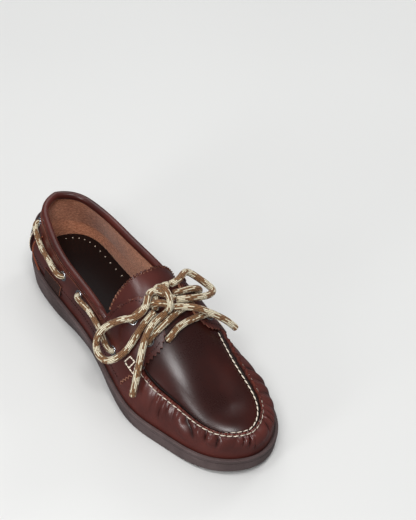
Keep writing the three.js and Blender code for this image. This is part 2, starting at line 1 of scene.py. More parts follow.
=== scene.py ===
# %% [markdown]
# # A hand-sewn boat shoe
# A boat shoe is a moccasin: one piece of leather is pulled up round a wooden form, the
# last, and sewn to an apron on top, which leaves a raised seam with puckers round the
# toe. Quarters, a heel patch and a rolled collar go over it, one lace runs along its
# sides through metal eyelets, and a flat rubber sole is stuck underneath. The frame
# holds the shoe's true solids. Here each of them gets the surface that one sees.

# %% Load the frame
import math

import bpy
import numpy as np
from mathutils import Matrix, Vector, kdtree


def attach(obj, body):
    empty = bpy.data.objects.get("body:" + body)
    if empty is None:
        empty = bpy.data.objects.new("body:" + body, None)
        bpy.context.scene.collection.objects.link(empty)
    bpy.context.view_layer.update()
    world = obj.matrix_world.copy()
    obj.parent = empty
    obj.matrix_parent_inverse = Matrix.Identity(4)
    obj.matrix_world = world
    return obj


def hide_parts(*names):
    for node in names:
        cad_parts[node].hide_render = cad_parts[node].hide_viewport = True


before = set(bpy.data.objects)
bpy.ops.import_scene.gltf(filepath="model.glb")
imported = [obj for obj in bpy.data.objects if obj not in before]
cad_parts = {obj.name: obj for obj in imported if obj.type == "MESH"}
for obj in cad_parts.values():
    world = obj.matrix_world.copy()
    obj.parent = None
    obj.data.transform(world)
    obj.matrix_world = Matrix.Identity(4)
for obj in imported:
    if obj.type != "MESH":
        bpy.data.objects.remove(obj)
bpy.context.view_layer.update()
bpy.ops.object.select_all(action="DESELECT")
MM = 0.001
LATERAL, MEDIAL = -1, 1
SIDES = {"lateral": LATERAL, "medial": MEDIAL}
print("nodes in the frame:", len(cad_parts))

# %% [markdown]
# The camera comes first, because everything else is judged through it. It looks down on
# the shoe from in front of its outer side, with a long lens, as a shop would show it.
# A camera can be placed by hand in its view, but two angles and a roll say the same
# thing in a way that can be changed later by one number.

# %% Camera
AZIMUTH, ELEVATION, ROLL = (math.radians(angle) for angle in (50.34, 42.5, 5.6))
level = Vector((math.cos(AZIMUTH), math.sin(AZIMUTH), 0))
rise = Vector((
    -math.sin(AZIMUTH) * math.sin(ELEVATION),
    math.cos(AZIMUTH) * math.sin(ELEVATION),
    math.cos(ELEVATION),
))
right = math.cos(ROLL) * level + math.sin(ROLL) * rise
up = math.cos(ROLL) * rise - math.sin(ROLL) * level
lens = bpy.data.cameras.new("camera")
lens.lens, lens.sensor_width = 104.2, 36
lens.clip_start, lens.clip_end = 0.05, 20
camera = bpy.data.objects.new("camera", lens)
bpy.context.collection.objects.link(camera)
turn = Matrix((right, up, right.cross(up))).transposed().to_4x4()
camera.matrix_world = Matrix.Translation((0.6820, -0.5089, 0.8928)) @ turn
bpy.context.scene.camera = camera

# %% [markdown]
# Grids of points are the one way of making here: Blender adds a flat grid, as a shoemaker
# cuts a flat piece of leather, and a function says where each point of it goes on the
# shoe. Dragging thousands of points by hand, or sculpting, could give the same shape but
# never the same shape twice. Merging doubles then closes what has been folded together,
# and the Solidify and Bevel modifiers give the cut its thickness and its edges.

# %% Helpers for making a piece
OUTWARDS = (bpy.ops.mesh.normals_make_consistent, {"inside": False})
TURNED = (bpy.ops.mesh.flip_normals, {})


def select_only(obj):
    bpy.ops.object.select_all(action="DESELECT")
    obj.select_set(True)
    bpy.context.view_layer.objects.active = obj


def edit(obj, *steps):
    """Runs edit-mode operators on the whole of one mesh."""
    select_only(obj)
    bpy.ops.object.mode_set(mode="EDIT")
    bpy.ops.mesh.select_all(action="SELECT")
    for step, settings in steps:
        step(**settings)
    bpy.ops.object.mode_set(mode="OBJECT")


def modify(obj, kind, **settings):
    """Adds a modifier, sets it and applies it."""
    select_only(obj)
    modifier = obj.modifiers.new(kind, kind)
    for key, value in settings.items():
        setattr(modifier, key, value)
    bpy.ops.object.modifier_apply(modifier=modifier.name)


def lay(name, along, across, place, merge=0.02, crease_shade_at=None):
    """A flat grid laid by place(u, w), in millimetres; crease_shade_at(u, w) gives the painted
    shade in its creases.
    """
    bpy.ops.mesh.primitive_grid_add(x_subdivisions=along, y_subdivisions=across, size=1)
    obj = bpy.context.object
    obj.name = obj.data.name = name
    flat = np.empty(len(obj.data.vertices) * 3)
    obj.data.vertices.foreach_get("co", flat)
    u, w = flat.reshape(-1, 3)[:, 0] + 0.5, flat.reshape(-1, 3)[:, 1] + 0.5
    obj.data.vertices.foreach_set("co", (place(u, w) * MM).ravel())
    if crease_shade_at:
        # painted shade: how dark each point's crease is painted, kept as a point attribute
        layer = obj.data.attributes.new("painted_crease_shade", "FLOAT", "POINT")
        layer.data.foreach_set("value", crease_shade_at(u, w).astype(np.float32))
    edit(obj, (bpy.ops.mesh.remove_doubles, {"threshold": merge * MM}))
    return obj


def smooth(obj, angle=40):
    select_only(obj)
    bpy.ops.object.shade_smooth_by_angle(angle=math.radians(angle))


def skive(obj, thick, edge=0.35):
    """Gives a cut its thickness, inwards, and takes the sharpness off its edges."""
    while len(obj.data.materials) < 2: # the second slot is the cut face's
        obj.data.materials.append(None)
    modify(obj, "SOLIDIFY", thickness=thick * MM, offset=-1, use_quality_normals=True,
           material_offset_rim=1)
    if edge:
        modify(obj, "BEVEL", width=edge * MM, segments=2, limit_method="ANGLE",
               angle_limit=math.radians(50))
    smooth(obj)


def show(obj, material, slot, *nodes, cut=None):
    """Puts a finished piece on the shoe, in place of CAD nodes."""
    faces = obj.data.polygons
    slots = [face.material_index if cut else 0 for face in faces]
    obj.data.materials.clear()
    obj.data.materials.append(material)
    if cut:
        obj.data.materials.append(cut)
    faces.foreach_set("material_index", slots)
    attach(obj, "root")
    if nodes:
        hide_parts(*nodes)
    print(f"{obj.name}: {len(obj.data.polygons)} faces")
    return obj


# %% [markdown]
# All leather follows the last. A last is told by ribs that rise from the sole's edge and
# lean over to a spine: t is the share of the way from the heel's back (0) to the toe's
# tip (1) along one side, v the share from the sole (0) to the spine (1), and lift the
# distance over the leather's face. The tables are those of the solid part, so that each
# cut lies just where its solid is.

# %% Curves and tables
class Curve:
    """A smooth curve through a table's values, with no bend at its two ends."""

    def __init__(self, knots, values):
        self.x, self.y = np.asarray(knots, float), np.asarray(values, float)
        gap = np.diff(self.x)
        slope = np.diff(self.y) / gap
        rows, right_side = np.eye(len(self.x)), np.zeros(len(self.x))
        for i in range(1, len(self.x) - 1):
            rows[i, i - 1 : i + 2] = gap[i - 1], 2 * (gap[i - 1] + gap[i]), gap[i]
            right_side[i] = 6 * (slope[i] - slope[i - 1])
        self.bend = np.linalg.solve(rows, right_side)

    def __call__(self, at):
        at = np.clip(at, self.x[0], self.x[-1])
        i = np.clip(np.searchsorted(self.x, at) - 1, 0, len(self.x) - 2)
        gap = self.x[i + 1] - self.x[i]
        b = (at - self.x[i]) / gap
        a = 1 - b
        sag = (a**3 - a) * self.bend[i] + (b**3 - b) * self.bend[i + 1]
        return a * self.y[i] + b * self.y[i + 1] + sag * gap**2 / 6


def columns(names, rows):
    """A table's named columns."""
    return dict(zip(names.split(), np.array(rows, float).T))


def running(steps):
    """The running total of some steps, from 0."""
    return np.concatenate([[0], np.cumsum(steps)])


def step_sizes(path):
    return np.linalg.norm(np.diff(path, axis=0), axis=1)


def between(at, knots, points):
    """Points at some places along a path, whose own points lie at its knots."""
    return np.stack([np.interp(at, knots, points[:, axis]) for axis in range(3)], -1)


def rounded(share):
    """From 0 to 1 by a quarter of a circle."""
    return np.sqrt(np.clip(1 - (1 - np.clip(share, 0, 1)) ** 2, 0, 1))


def ease(low, high, x):
    """0 at low, 1 at high, and a smooth step between."""
    share = np.clip((x - low) / (high - low), 0, 1)
    return share * share * (3 - 2 * share)


LENGTH, WIDTH, WALL, GAP = 290, 104, 2.2, 0.35
RIM, RIM_HEIGHT, FEATHER_INSET = 3.0, 1.8, 3.5
SEAM_START, CUP_TOP = 0.64, 0.34
OUTLINE = columns("x y", [
    (-1, 0), (-0.93, -0.48), (-0.74, -0.69), (-0.45, -0.75), (-0.1, -0.815), (0.3, -1),
    (0.59, -0.84), (0.86, -0.55), (1, 0.06), (0.91, 0.66), (0.68, 0.97), (0.4, 0.99),
    (0.1, 0.84), (-0.2, 0.72), (-0.5, 0.66), (-0.76, 0.67), (-0.93, 0.48),
])
TOE_TIP = 8
DECK = columns("x deck", [
    (-145, 23), (-100, 23), (-45, 21.5), (10, 17.5), (60, 14), (105, 13.5), (145, 17),
])
RIBS = columns("t x y z full swell cup tuck", [
    (0.0, -111, 0, 110, 2.6, 3.0, 1.3, 2),
    (0.12, -102, 0, 109, 1.6, 3.0, 3, 3),
    (0.25, -74, 0, 108, 2.1, 2.5, 1.5, 4),
    (0.4, -26, 0, 103, 2.6, 1.5, 0, 5),
    (0.53, 14, 1, 92, 2.3, 1.0, 0, 3.5),
    (0.64, 43, 2, 73, 2.1, 2.0, 0, 2),
    (0.75, 68, 3, 57, 2.15, 3.0, 0, 1),
    (0.88, 93, 4, 45, 2.9, 3.0, 0, 0.6),
    (1.0, 104, 4, 42, 3.0, 2.5, 0, 0.5),
])
COLLAR = columns("t z", [(0, 77), (0.1, 73.5), (0.25, 68), (0.4, 64.5), (0.5, 61)])
SEAM = columns("t lateral medial", [
    (0, 0.25, 0.25), (0.45, 0.25, 0.25), (0.62, 0.44, 0.52), (0.7, 0.445, 0.595),
    (0.8, 0.475, 0.655), (0.9, 0.48, 0.63), (1, 0.53, 0.53),
])
rib = {key: Curve(RIBS["t"], RIBS[key]) for key in RIBS if key != "t"}
ridge_line = Curve(RIBS["x"], RIBS["z"])
deck_at = Curve(DECK["x"], DECK["deck"])
collar_column = Curve(COLLAR["t"], COLLAR["z"])
seam_columns = {key: Curve(SEAM["t"], SEAM[key]) for key in SIDES}


# %% The sole's outline
def outline_axis(key, size):
    count = len(OUTLINE[key])
    knots = np.arange(-count, 2 * count + 1)
    curve = Curve(knots, OUTLINE[key][knots % count])
    seen = curve(np.arange(2000) * count / 2000)
    middle, span = (seen.min() + seen.max()) / 2, seen.max() - seen.min()
    return lambda at: (curve(at) - middle) * size / span


outline_x, outline_y = outline_axis("x", LENGTH), outline_axis("y", WIDTH)


def outline_side(start):
    """The outline's point number, by the share of one side's length."""
    numbers = np.linspace(start, TOE_TIP, 401)
    lengths = running(np.hypot(np.diff(outline_x(numbers)), np.diff(outline_y(numbers))))
    return Curve(lengths / lengths[-1], numbers)


lateral_number, medial_number = outline_side(0), outline_side(len(OUTLINE["x"]))


def both_sides(u, reach=1.0):
    """Side and t for one run from medial to lateral by the heel, which starts at t = reach."""
    s = (1 - 2 * u) * reach
    return np.where(s < 0, LATERAL, MEDIAL), np.abs(s)


def edge_at(side, t):
    """The sole's edge in plan, and the way out from it."""
    number = np.where(np.asarray(side) < 0, lateral_number(t), medial_number(t))
    step_x = outline_x(number + 0.01) - outline_x(number - 0.01)
    step_y = outline_y(number + 0.01) - outline_y(number - 0.01)
    size = np.hypot(step_x, step_y)
    return outline_x(number), outline_y(number), step_y / size, -step_x / size


# %% The last's surface
def on_last(side, t, v, lift=0.0):
    x, y, out_x, out_y = edge_at(side, t)
    angle, power = v * math.pi / 2, 2 / rib["full"](t)
    over = 1 - np.maximum(np.cos(angle), 0) ** power
    up_share = np.maximum(np.sin(angle), 0) ** power
    cup = np.where(v < CUP_TOP, rib["cup"](t) * np.sin(math.pi * v / CUP_TOP) ** 2, 0)
    bulge = rib["swell"](t) * np.sin(math.pi * v) ** 2 * (1 - v) + cup
    inset = lift - FEATHER_INSET
    spine_x, spine_y, spine_z = rib["x"](t), rib["y"](t), rib["z"](t)
    plan_x = (x + out_x * inset) * (1 - over) + spine_x * over + out_x * bulge
    plan_y = (y + out_y * inset) * (1 - over) + spine_y * over + out_y * bulge
    base = deck_at(x) + GAP
    slope = (ridge_line(plan_x) - ridge_line(spine_x)) * v**4
    z = base + (spine_z + lift - base) * up_share + slope
    return np.stack(np.broadcast_arrays(plan_x, plan_y, z), -1)


def unit(vectors):
    return vectors / np.linalg.norm(vectors, axis=-1, keepdims=True)


def outward(side, t, v):
    """The way out of the leather at a place on it."""
    along = on_last(side, t + 0.004, v) - on_last(side, t - 0.004, v)
    upward = on_last(side, t, v + 0.004) - on_last(side, t, v - 0.004)
    return unit(np.cross(along, upward) * -np.asarray(side, float)[..., None])


def over_last(side, t, v, lift):
    """A point straight out of the leather, by a distance."""
    side, t, v = np.broadcast_arrays(np.asarray(side, float), t, v)
    return on_last(side, t, v) + outward(side, t, v) * np.asarray(lift)[..., None]


def v_at_height(side, t, z):
    base = deck_at(edge_at(side, t)[0]) + GAP
    share = np.clip((z - base) / (rib["z"](t) - base), 0, 1)
    return 2 / math.pi * np.arcsin(share ** (rib["full"](t) / 2))


def v_short_of_spine(side, t, distance):
    foot = on_last(side, t, 0.0 * t)
    reach = np.hypot(rib["x"](t) - foot[..., 0], rib["y"](t) - foot[..., 1])
    share = np.minimum(distance / reach, 1)
    return 2 / math.pi * np.arccos(share ** (rib["full"](t) / 2))


# %% Where the cuts end
ROLL_HALF, ROLL_TALL, ROLL_OUT = 3, 6.5, 1
COLLAR_FRONT, TAB_RISE, THROAT_FRONT, THROAT_HALF = 0.462, 0.08, 0.64, 15


def collar_height(side, t):
    medial = 1.5 * ease(0, 0.2, t) + 2.5 * ease(0.1, 0.28, t) * (1 - ease(0.36, 0.5, t))
    return collar_column(t) + np.where(np.asarray(side) > 0, medial, 0)


def tab_edge(side, t):
    return v_short_of_spine(side, t, THROAT_HALF)


def top_of(side, t):
    collar = v_at_height(side, t, collar_height(side, t) - ROLL_TALL - 2.8 * GAP)
    climb = ease(COLLAR_FRONT, COLLAR_FRONT + TAB_RISE, t)
    return collar + (tab_edge(side, t) - collar) * climb


def seam_of(side, t):
    column = np.where(np.asarray(side) < 0, seam_columns["lateral"](t), seam_columns["medial"](t))
    return np.where(t < THROAT_FRONT, np.minimum(column, top_of(side, t) - 0.12), column)


# %% [markdown]
# Shader sums are written as sums. A Wire holds the output of a node, and adding,
# multiplying or comparing it adds the Math node that does so. Finish is a material in
# the making, with one method that adds any other node.

# %% Materials: the tools
class Wire:
    def __init__(self, finish, socket):
        self.finish, self.socket = finish, socket

    def sum(self, operation, *others, flip=False):
        values = [self, *others]
        if flip:
            values.reverse()
        return self.finish.node("Math", {"operation": operation}, dict(enumerate(values)))

    def __add__(self, other):
        return self.sum("ADD", other)

    def __sub__(self, other):
        return self.sum("SUBTRACT", other)

    def __rsub__(self, other):
        return self.sum("SUBTRACT", other, flip=True)

    def __mul__(self, other):
        return self.sum("MULTIPLY", other)

    __radd__, __rmul__ = __add__, __mul__

    def sine(self):
        return self.sum("SINE")

    def floor(self):
        return self.sum("FLOOR")

    def size(self):
        return self.sum("ABSOLUTE")

    def above(self, low, high):
        """0 below low, 1 above high, and a smooth step between."""
        settings = {"interpolation_type": "SMOOTHSTEP"}
        return self.finish.node("MapRange", settings, {0: self, 1: low, 2: high, 3: 0, 4: 1})


class Finish:
    def __init__(self, name, **fixed):
        self.material = bpy.data.materials.new(name)
        self.material.use_nodes = True
        self.tree = self.material.node_tree
        self.skin = self.tree.nodes["Principled BSDF"]
        for key, value in fixed.items():
            socket = key.replace("_", " ").title().replace("Ior", "IOR")
            self.skin.inputs[socket].default_value = value

    def node(self, kind, settings=None, inputs=None, output=0):
        node = self.tree.nodes.new("ShaderNode" + kind)
        for key, value in (settings or {}).items():
            setattr(node, key, value)
        for key, value in (inputs or {}).items():
            if isinstance(value, Wire):
                self.tree.links.new(value.socket, node.inputs[key])
            else:
                node.inputs[key].default_value = value
        return Wire(self, node.outputs[output])

    def place(self, kind="Object"):
        return self.node("TexCoord", output=kind)

    def axes(self, vector):
        return [self.node("SeparateXYZ", None, {0: vector}, output=axis) for axis in "XYZ"]

    def noise(self, scale, detail=3, vector=None, roughness=0.5):
        inputs = {"Vector": vector or self.place(), "Scale": scale, "Detail": detail,
                  "Roughness": roughness}
        return self.node("TexNoise", None, inputs)

    def mix(self, share, *colors):
        first, second = (c if isinstance(c, Wire) else (*c, 1) for c in colors)
        return self.node("Mix", {"data_type": "RGBA"}, {0: share, 6: first, 7: second}, output=2)

    def wear(self, **wires):
        """Links wires to the shader's own sockets."""
        for key, wire in wires.items():
            self.tree.links.new(wire.socket, self.skin.inputs[key.replace("_", " ").title()])
        return self

    def bump(self, height, distance):
        """Moves the normal as if the surface stood up by a height times a distance in mm."""
        inputs = {"Height": height, "Distance": distance * MM}
        return self.wear(normal=self.node("Bump", None, inputs))


def srgb(red, green, blue):
    """A colour as painters' 0 to 255, made linear."""
    straight = [c / 255 for c in (red, green, blue)]
    return tuple(c / 12.92 if c <= 0.04045 else ((c + 0.055) / 1.055) ** 2.4 for c in straight)


# %% [markdown]
# The leather is an oiled, waxed hide. Its colour comes from deep in it, so it is dark and
# red, a little lighter where it has been pulled, with a clear soft shine on top. Its
# grain is far too fine to model: noise bumps the surface by a few hundredths of a
# millimetre, and changes colour and roughness in wide, faint clouds.

# %% Leather
def leather(name, tint, deep, shine=0.33, grain=0.018, coat=0.25, shade_creases=False):
    hide = Finish(name, specular_ior_level=0.55, coat_roughness=0.28)
    clouds = hide.noise(26, 4)
    pores = hide.noise(900, 2)
    color = hide.mix(clouds.above(0.32, 0.68), deep, tint)
    if shade_creases: # painted shade: the bottoms of the creases are darkened as if in shadow
        painted_crease_shade = hide.node("Attribute", {"attribute_name": "painted_crease_shade"}, output="Fac")
        color = hide.mix(painted_crease_shade, color, srgb(24, 10, 8))
    hide.wear(base_color=color)
    hide.wear(roughness=clouds * 0.1 + (shine - 0.05) + pores * 0.04)
    hide.skin.inputs["Coat Weight"].default_value = coat
    fine = hide.noise(1500, 3) * 0.6 + hide.noise(420, 3)
    return hide.bump(fine, grain).material


OXBLOOD = leather("leather", srgb(87, 37, 30), srgb(62, 26, 22), shine=0.28, coat=0.2)
GATHERED = leather("gathered leather", srgb(93, 44, 38), srgb(66, 31, 27), shine=0.27, coat=0.2,
                   shade_creases=True)
APRON = leather("apron leather", srgb(58, 19, 13), srgb(42, 14, 10), shine=0.27, coat=0.15)
RAW = leather("raw cut leather", srgb(178, 128, 102), srgb(120, 74, 58), shine=0.75, coat=0.0)
DARK_RAW = leather("dark cut leather", srgb(128, 74, 60), srgb(78, 40, 32), shine=0.7, coat=0.0)
PATCH = leather("patch leather", srgb(66, 29, 26), srgb(46, 21, 19), shine=0.36, coat=0.15)


def suede():
    nap = Finish("suede lining", roughness=0.95, specular_ior_level=0.15, sheen_weight=0.35,
                 sheen_roughness=0.5)
    x, y, z = nap.axes(nap.place())
    drawn_out = nap.node("CombineXYZ", None, {0: x, 1: y, 2: z * 3})
    clouds, fibres = nap.noise(60, 4), nap.noise(420, 4, drawn_out, 0.8)
    tone = clouds * 0.1 + fibres * 0.9 - 0.01
    nap.wear(base_color=nap.mix(tone.above(0.38, 0.62), srgb(168, 102, 74), srgb(226, 160, 124)))
    return nap.bump(fibres, 0.2).material


SUEDE = suede()


def footbed():
    sock = Finish("footbed leather", specular_ior_level=0.3, coat_roughness=0.4)
    grain = sock.noise(700, 4)
    sock.wear(base_color=sock.mix(grain.above(0.3, 0.7), srgb(17, 9, 9), srgb(25, 15, 14)))
    sock.wear(roughness=grain * 0.2 + 0.5)
    return sock.bump(grain, 0.05).material


FOOTBED = footbed()

# %% [markdown]
# The sole is one moulding of grey brown rubber. Fine upright ribs run all round its wall,
# close together, and the tread is cut across by wavy slits, which open as the shoe bends
# and grip a wet deck. Both are narrower than a millimetre, so they are bump and not mesh.

# %% Rubber
def rubber():
    gum = Finish("rubber", specular_ior_level=0.35)
    x, y, z = gum.axes(gum.place())
    around = gum.node("UVMap", {"uv_map": "UVMap"})
    u, w, _ = gum.axes(around)
    clouds = gum.noise(40, 4)
    specks = gum.noise(1600, 2)
    lip = w.above(0.60, 0.64)
    tone = clouds * 0.7 + specks * 0.3
    gum.wear(base_color=gum.mix(tone.above(0.3, 0.7), srgb(78, 65, 64), srgb(104, 89, 88)))
    gum.wear(roughness=specks * 0.15 + 0.40 - lip * 0.22)
    under = 1 - z.above(0.0065, 0.0085)
    wall = z.above(0.002, 0.004)
    ribs = (u * (2 * math.pi * 520)).sine() * 0.5 + 0.5
    wave = (y * 300).sine() * 0.0018 + x
    slits = ((wave * (2 * math.pi / 0.0042)).sine()).above(0.86, 0.99)
    height = ribs * wall * 0.5 + specks * 0.3 - slits * under * (1 - wall) * 4
    return gum.bump(height, 0.18).material


RUBBER = rubber()


# %% [markdown]
# Eyelets are pressed from thin plated brass, so they are bright but softly dented. The
# thread is waxed and a little fuzzy.

# %% Metal and thread
def metal():
    plate = Finish("plated metal", base_color=(*srgb(205, 207, 212), 1), metallic=1.0)
    dents = plate.noise(500, 2)
    plate.wear(roughness=dents * 0.15 + 0.14)
    return plate.bump(dents, 0.04).material


def thread(name, light, dark):
    twist = Finish(name, specular_ior_level=0.3)
    fibres = twist.noise(2200, 2)
    twist.wear(base_color=twist.mix(fibres.above(0.3, 0.7), dark, light))
    twist.wear(roughness=fibres * 0.2 + 0.6)
    return twist.bump(fibres, 0.05).material


METAL = metal()
WHITE_THREAD = thread("white thread", srgb(250, 240, 224), srgb(222, 206, 184))
RUST_THREAD = thread("rust thread", srgb(152, 84, 58), srgb(112, 58, 42))
TONAL_THREAD = thread("brown thread", srgb(60, 31, 27), srgb(34, 19, 18))


# %% [markdown]
# The lace is a round braid of a cream yarn and a brown one. Where the brown yarns come up
# they make dashes drawn out along the cord, in loose blocks, because each yarn turns up
# a little before or after its neighbour. The pattern lies in the cord's own map: u runs
# round it and v along it, in metres, so that it follows every bend.

# %% Braided lace
def braid():
    cord = Finish("braided lace", specular_ior_level=0.3, sheen_weight=0.15)
    u, v, _ = cord.axes(cord.node("UVMap", {"uv_map": "UVMap"}))
    round_place = u * 14 + v * 30
    strand = round_place.floor()
    along = cord.node("CombineXYZ", None, {0: strand * 7.3, 1: v * 105})
    dashes = cord.noise(1.0, 2, along, 0.6)
    bends = cord.noise(1.0, 1, cord.node("CombineXYZ", None, {1: v * 40}))
    shift = cord.node("TexWhiteNoise", {"noise_dimensions": "1D"}, {"W": strand})
    block = (v * (2 * math.pi / 0.0215) + shift * 1.4 + bends * 3).sine()
    brown_yarn = (dashes + block * 0.10).above(0.465, 0.505)
    fibres = cord.noise(1.0, 2, cord.node("CombineXYZ", None, {0: u * 60, 1: v * 500}))
    brown = cord.mix(fibres.above(0.35, 0.65), srgb(104, 66, 38), srgb(166, 122, 80))
    cream = cord.mix(fibres.above(0.30, 0.55), srgb(196, 172, 128), srgb(244, 234, 206))
    # painted shade: the gaps between the strands are darkened, as if in shadow
    between = ((round_place - strand - 0.5).size() * 2).above(0.52, 0.92)
    yarns = cord.mix(brown_yarn, cream, brown)
    cord.wear(base_color=cord.mix(between * 0.9, yarns, srgb(46, 28, 18)))
    cord.wear(roughness=fibres * 0.15 + 0.72)
    return cord.bump((1 - between) * 0.8 + fibres * 0.4, 0.4).material


LACE = braid()

# %% [markdown]
# A cord is a grid rolled into a tube: its length follows a smooth curve through a few
# given points, and its width goes round. Carrying the frame along the curve
# without twist keeps the braid straight. The loops and ends of the bow are limp, so they
# hang over the shoe's side and stand off it only where the knot holds them up.

# %% Cords
LACE_RADIUS = 2.3 # pulled tight along the sides
BOW_RADIUS = 2.8 # slack, over the throat and in the bow


def follow(points, spacing=1.0):
    """Evenly spaced points on a smooth curve through the given ones."""
    points = np.asarray(points, float)
    knots = running(step_sizes(points) ** 0.5)
    fine = np.linspace(0, knots[-1], 1200)
    path = np.stack([Curve(knots, points[:, axis])(fine) for axis in range(3)], -1)
    lengths = running(step_sizes(path))
    even = np.linspace(0, lengths[-1], max(int(lengths[-1] / spacing), 4) + 1)
    return between(even, lengths, path)


def carried(path):
    """Two directions across a path, carried along it without twist."""
    tangents = unit(np.gradient(path, axis=0))
    first = np.cross(tangents[0], [0.31, 0.17, 0.93])
    across = [first / np.linalg.norm(first)]
    for tangent in tangents[1:]:
        step = across[-1] - tangent * (across[-1] @ tangent)
        across.append(step / np.linalg.norm(step))
    across = np.array(across)
    return tangents, across, np.cross(tangents, across)


def tube(name, points, radius=LACE_RADIUS, sides=14, start=0.0, ends=0.6):
    """A cord along points, rounded off at both ends; its map starts at start metres."""
    path = follow(points)
    _, first, second = carried(path)
    length = step_sizes(path).sum()

    def place(u, w):
        at, knots = u * (len(path) - 1), range(len(path))
        middle, over, aside = (between(at, knots, rows) for rows in (path, first, second))
        girth = radius * rounded(np.minimum(u, 1 - u) * length / ends)
        angle = (2 * math.pi * w)[:, None]
        ring = np.cos(angle) * over + np.sin(angle) * aside
        return middle + ring * girth[:, None]

    obj = lay(name, len(path) - 1, sides, place, merge=0.01)
    flat_map = np.empty(len(obj.data.loops) * 2)
    layer = obj.data.uv_layers[0].data
    layer.foreach_get("uv", flat_map)
    pairs = flat_map.reshape(-1, 2)
    swapped = np.stack([pairs[:, 1], pairs[:, 0] * length * MM + start], -1)
    layer.foreach_set("uv", swapped.ravel())
    obj.data.uv_layers[0].name = "UVMap"
    edit(obj, OUTWARDS)
    smooth(obj, 60)
    return obj, path


# %% The bow's loops and ends
BOW = {
    "loop_lateral": [
        (21.8, -17.2, 96.6), (27, -22.2, 94.4), (29.5, -27.5, 91.3), (28.5, -33.5, 88),
        (21.5, -37.5, 82), (14.5, -42.5, 75), (9.5, -47.5, 67.5), (7.5, -52, 59),
        (10, -55, 51.5), (16, -56, 47.5), (23, -55, 48), (29, -51.5, 52.5), (33, -46, 59),
        (34, -40, 66), (33, -33, 74), (32, -26, 81), (30.5, -16, 87),
    ],
    "loop_medial": [
        (20, 4, 96.5), (19, 14, 97), (14, 24, 95), (18, 31, 90), (25, 38, 83),
        (29, 40, 80), (33.5, 33, 82), (35, 19, 87.5), (33, 6, 90.5), (31.5, 2, 91),
    ],
    "end_lateral": [
        (35.5, -9, 86), (37.8, -20, 84.5), (41.5, -30, 80.5), (47.5, -39, 69),
        (53, -45.5, 57.5), (56.5, -52, 36),
    ],
    "end_medial": [
        (35, -3, 88.5), (39, 6.5, 87.5), (44.3, 15.5, 85), (50.5, 27, 77.5),
        (55.5, 35.5, 70.5), (59.5, 42.5, 62),
    ],
}
for start, (word, points) in enumerate(BOW.items()):
    cord, path = tube(f"bow_{word}", points, BOW_RADIUS, start=0.007 * start)
    length = step_sizes(path).sum()
    show(cord, LACE, "lace", f"lace_{word}")
    tuple(path[0] * MM)
    length * MM
    [tuple(p) for p in path * MM]
    print(f"{word}: {length:.0f} mm of lace")

# %% [markdown]
# The knot is a shoelace knot pulled fairly tight: one strand goes over the middle and
# under again, and the two loops start beside it. Four short strands are laid over one
# another inside the space of the knot's solid, rather than one cord that is really tied.

# %% The knot
KNOT_STRANDS = {
    "wrap": [
        (33, -7, 85), (35.5, -6, 89.5), (33, -4.5, 95.5), (27, -3.5, 98.2), (20, -3.5, 97),
        (15.5, -5, 92.5), (18, -6, 87),
    ],
    "bight_lateral": [
        (21.8, -17.2, 96.6), (20.5, -12.5, 97.6), (22.5, -7.5, 96.3), (27.5, -2, 93.5),
        (31, 2, 90.6),
    ],
    "bight_medial": [
        (20, 4, 96.5), (18.5, -1, 95.8), (19.5, -6.5, 92), (25, -12.5, 89.5), (30.5, -16, 87),
    ],
    "cross": [
        (25.5, -16.5, 90), (29.5, -13.5, 93.6), (32, -8.5, 92.5), (34, -4, 89.5), (35.5, -1.5, 88),
    ],
}
strands = [tube(f"knot_{word}", points, BOW_RADIUS, start=0.004 * i)[0]
           for i, (word, points) in enumerate(KNOT_STRANDS.items())]
bpy.ops.object.select_all(action="DESELECT")
for strand in strands:
    strand.select_set(True)
bpy.context.view_layer.objects.active = strands[0]
bpy.ops.object.join()
knot = bpy.context.object
knot.name = knot.data.name = "bow_knot"
show(knot, LACE, "lace", "lace_knot")

# %% [markdown]
# The rest of the lace is held: it goes in and out of the eyelets along both sides, crosses
# the throat as two bars, and rises to the knot. Its paths are worked out from the eyelets,
# as they were for the solids.

# %% The held lace
EYELETS = {
    "heel": (0.095, 0.333), "ankle": (0.289, 0.205), "waist": (0.363, 0.185),
    "instep": (0.545, 0.229), "tie_back": (0.558, 0.605), "tie_front": (0.62, 0.64),
}
SHARES, LIFTS = (0.07, 0.3, 0.5, 0.7, 0.93), (4.6, 3.6, 3.6, 3.6, 4.6)


def over(side, place, lift):
    return over_last(side, np.array(place[0]), np.array(place[1]), np.array(float(lift)))


def side_run(side, first, last):
    a, b = np.array(EYELETS[first]), np.array(EYELETS[last])
    middle = [over(side, a + (b - a) * share, lift) for share, lift in zip(SHARES, LIFTS)]
    return [over(side, a, -1), over(side, a, 2.6), *middle, over(side, b, 2.6), over(side, b, -1)]


def bar(side, shift):
    t, v = EYELETS["tie_front"]
    edge = tab_edge(side, np.array(t))
    far = tab_edge(-side, np.array(t + shift)) + 0.03
    return [
        over(side, (t, v), 0.5), over(side, (t, v), 5.4),
        over(side, (t + shift * 0.1, v + 0.06), 6.6),
        over(side, (t + shift * 0.3, edge + 0.02), 5.6),
        over(-side, (t + shift * 0.7, 0.96), 3.4), over(-side, (t + shift, far), 3.2),
        over(-side, (t + shift * 1.1, far - 0.05), -0.5),
    ]


def rise_to_knot(side):
    t, v = EYELETS["tie_back"]
    return [over(side, (t, v), 0.5), over(side, (t, v), 6), over(side, (t, v + 0.08), 7),
            (24.5, -6 + side * 10.5, 90.5)]


held = {}
for word, side in SIDES.items():
    held[f"lace_heel_run_{word}"] = side_run(side, "heel", "ankle")
    held[f"lace_waist_run_{word}"] = side_run(side, "waist", "instep")
    held[f"lace_rise_{word}"] = rise_to_knot(side)
held["lace_bar_back"] = bar(LATERAL, -0.026)
held["lace_bar_front"] = bar(MEDIAL, 0.026)
for i, (node, points) in enumerate(held.items()):
    radius = LACE_RADIUS if "run" in node else BOW_RADIUS
    show(tube(f"{node}_braid", points, radius, start=0.0051 * i)[0], LACE, "lace", node)

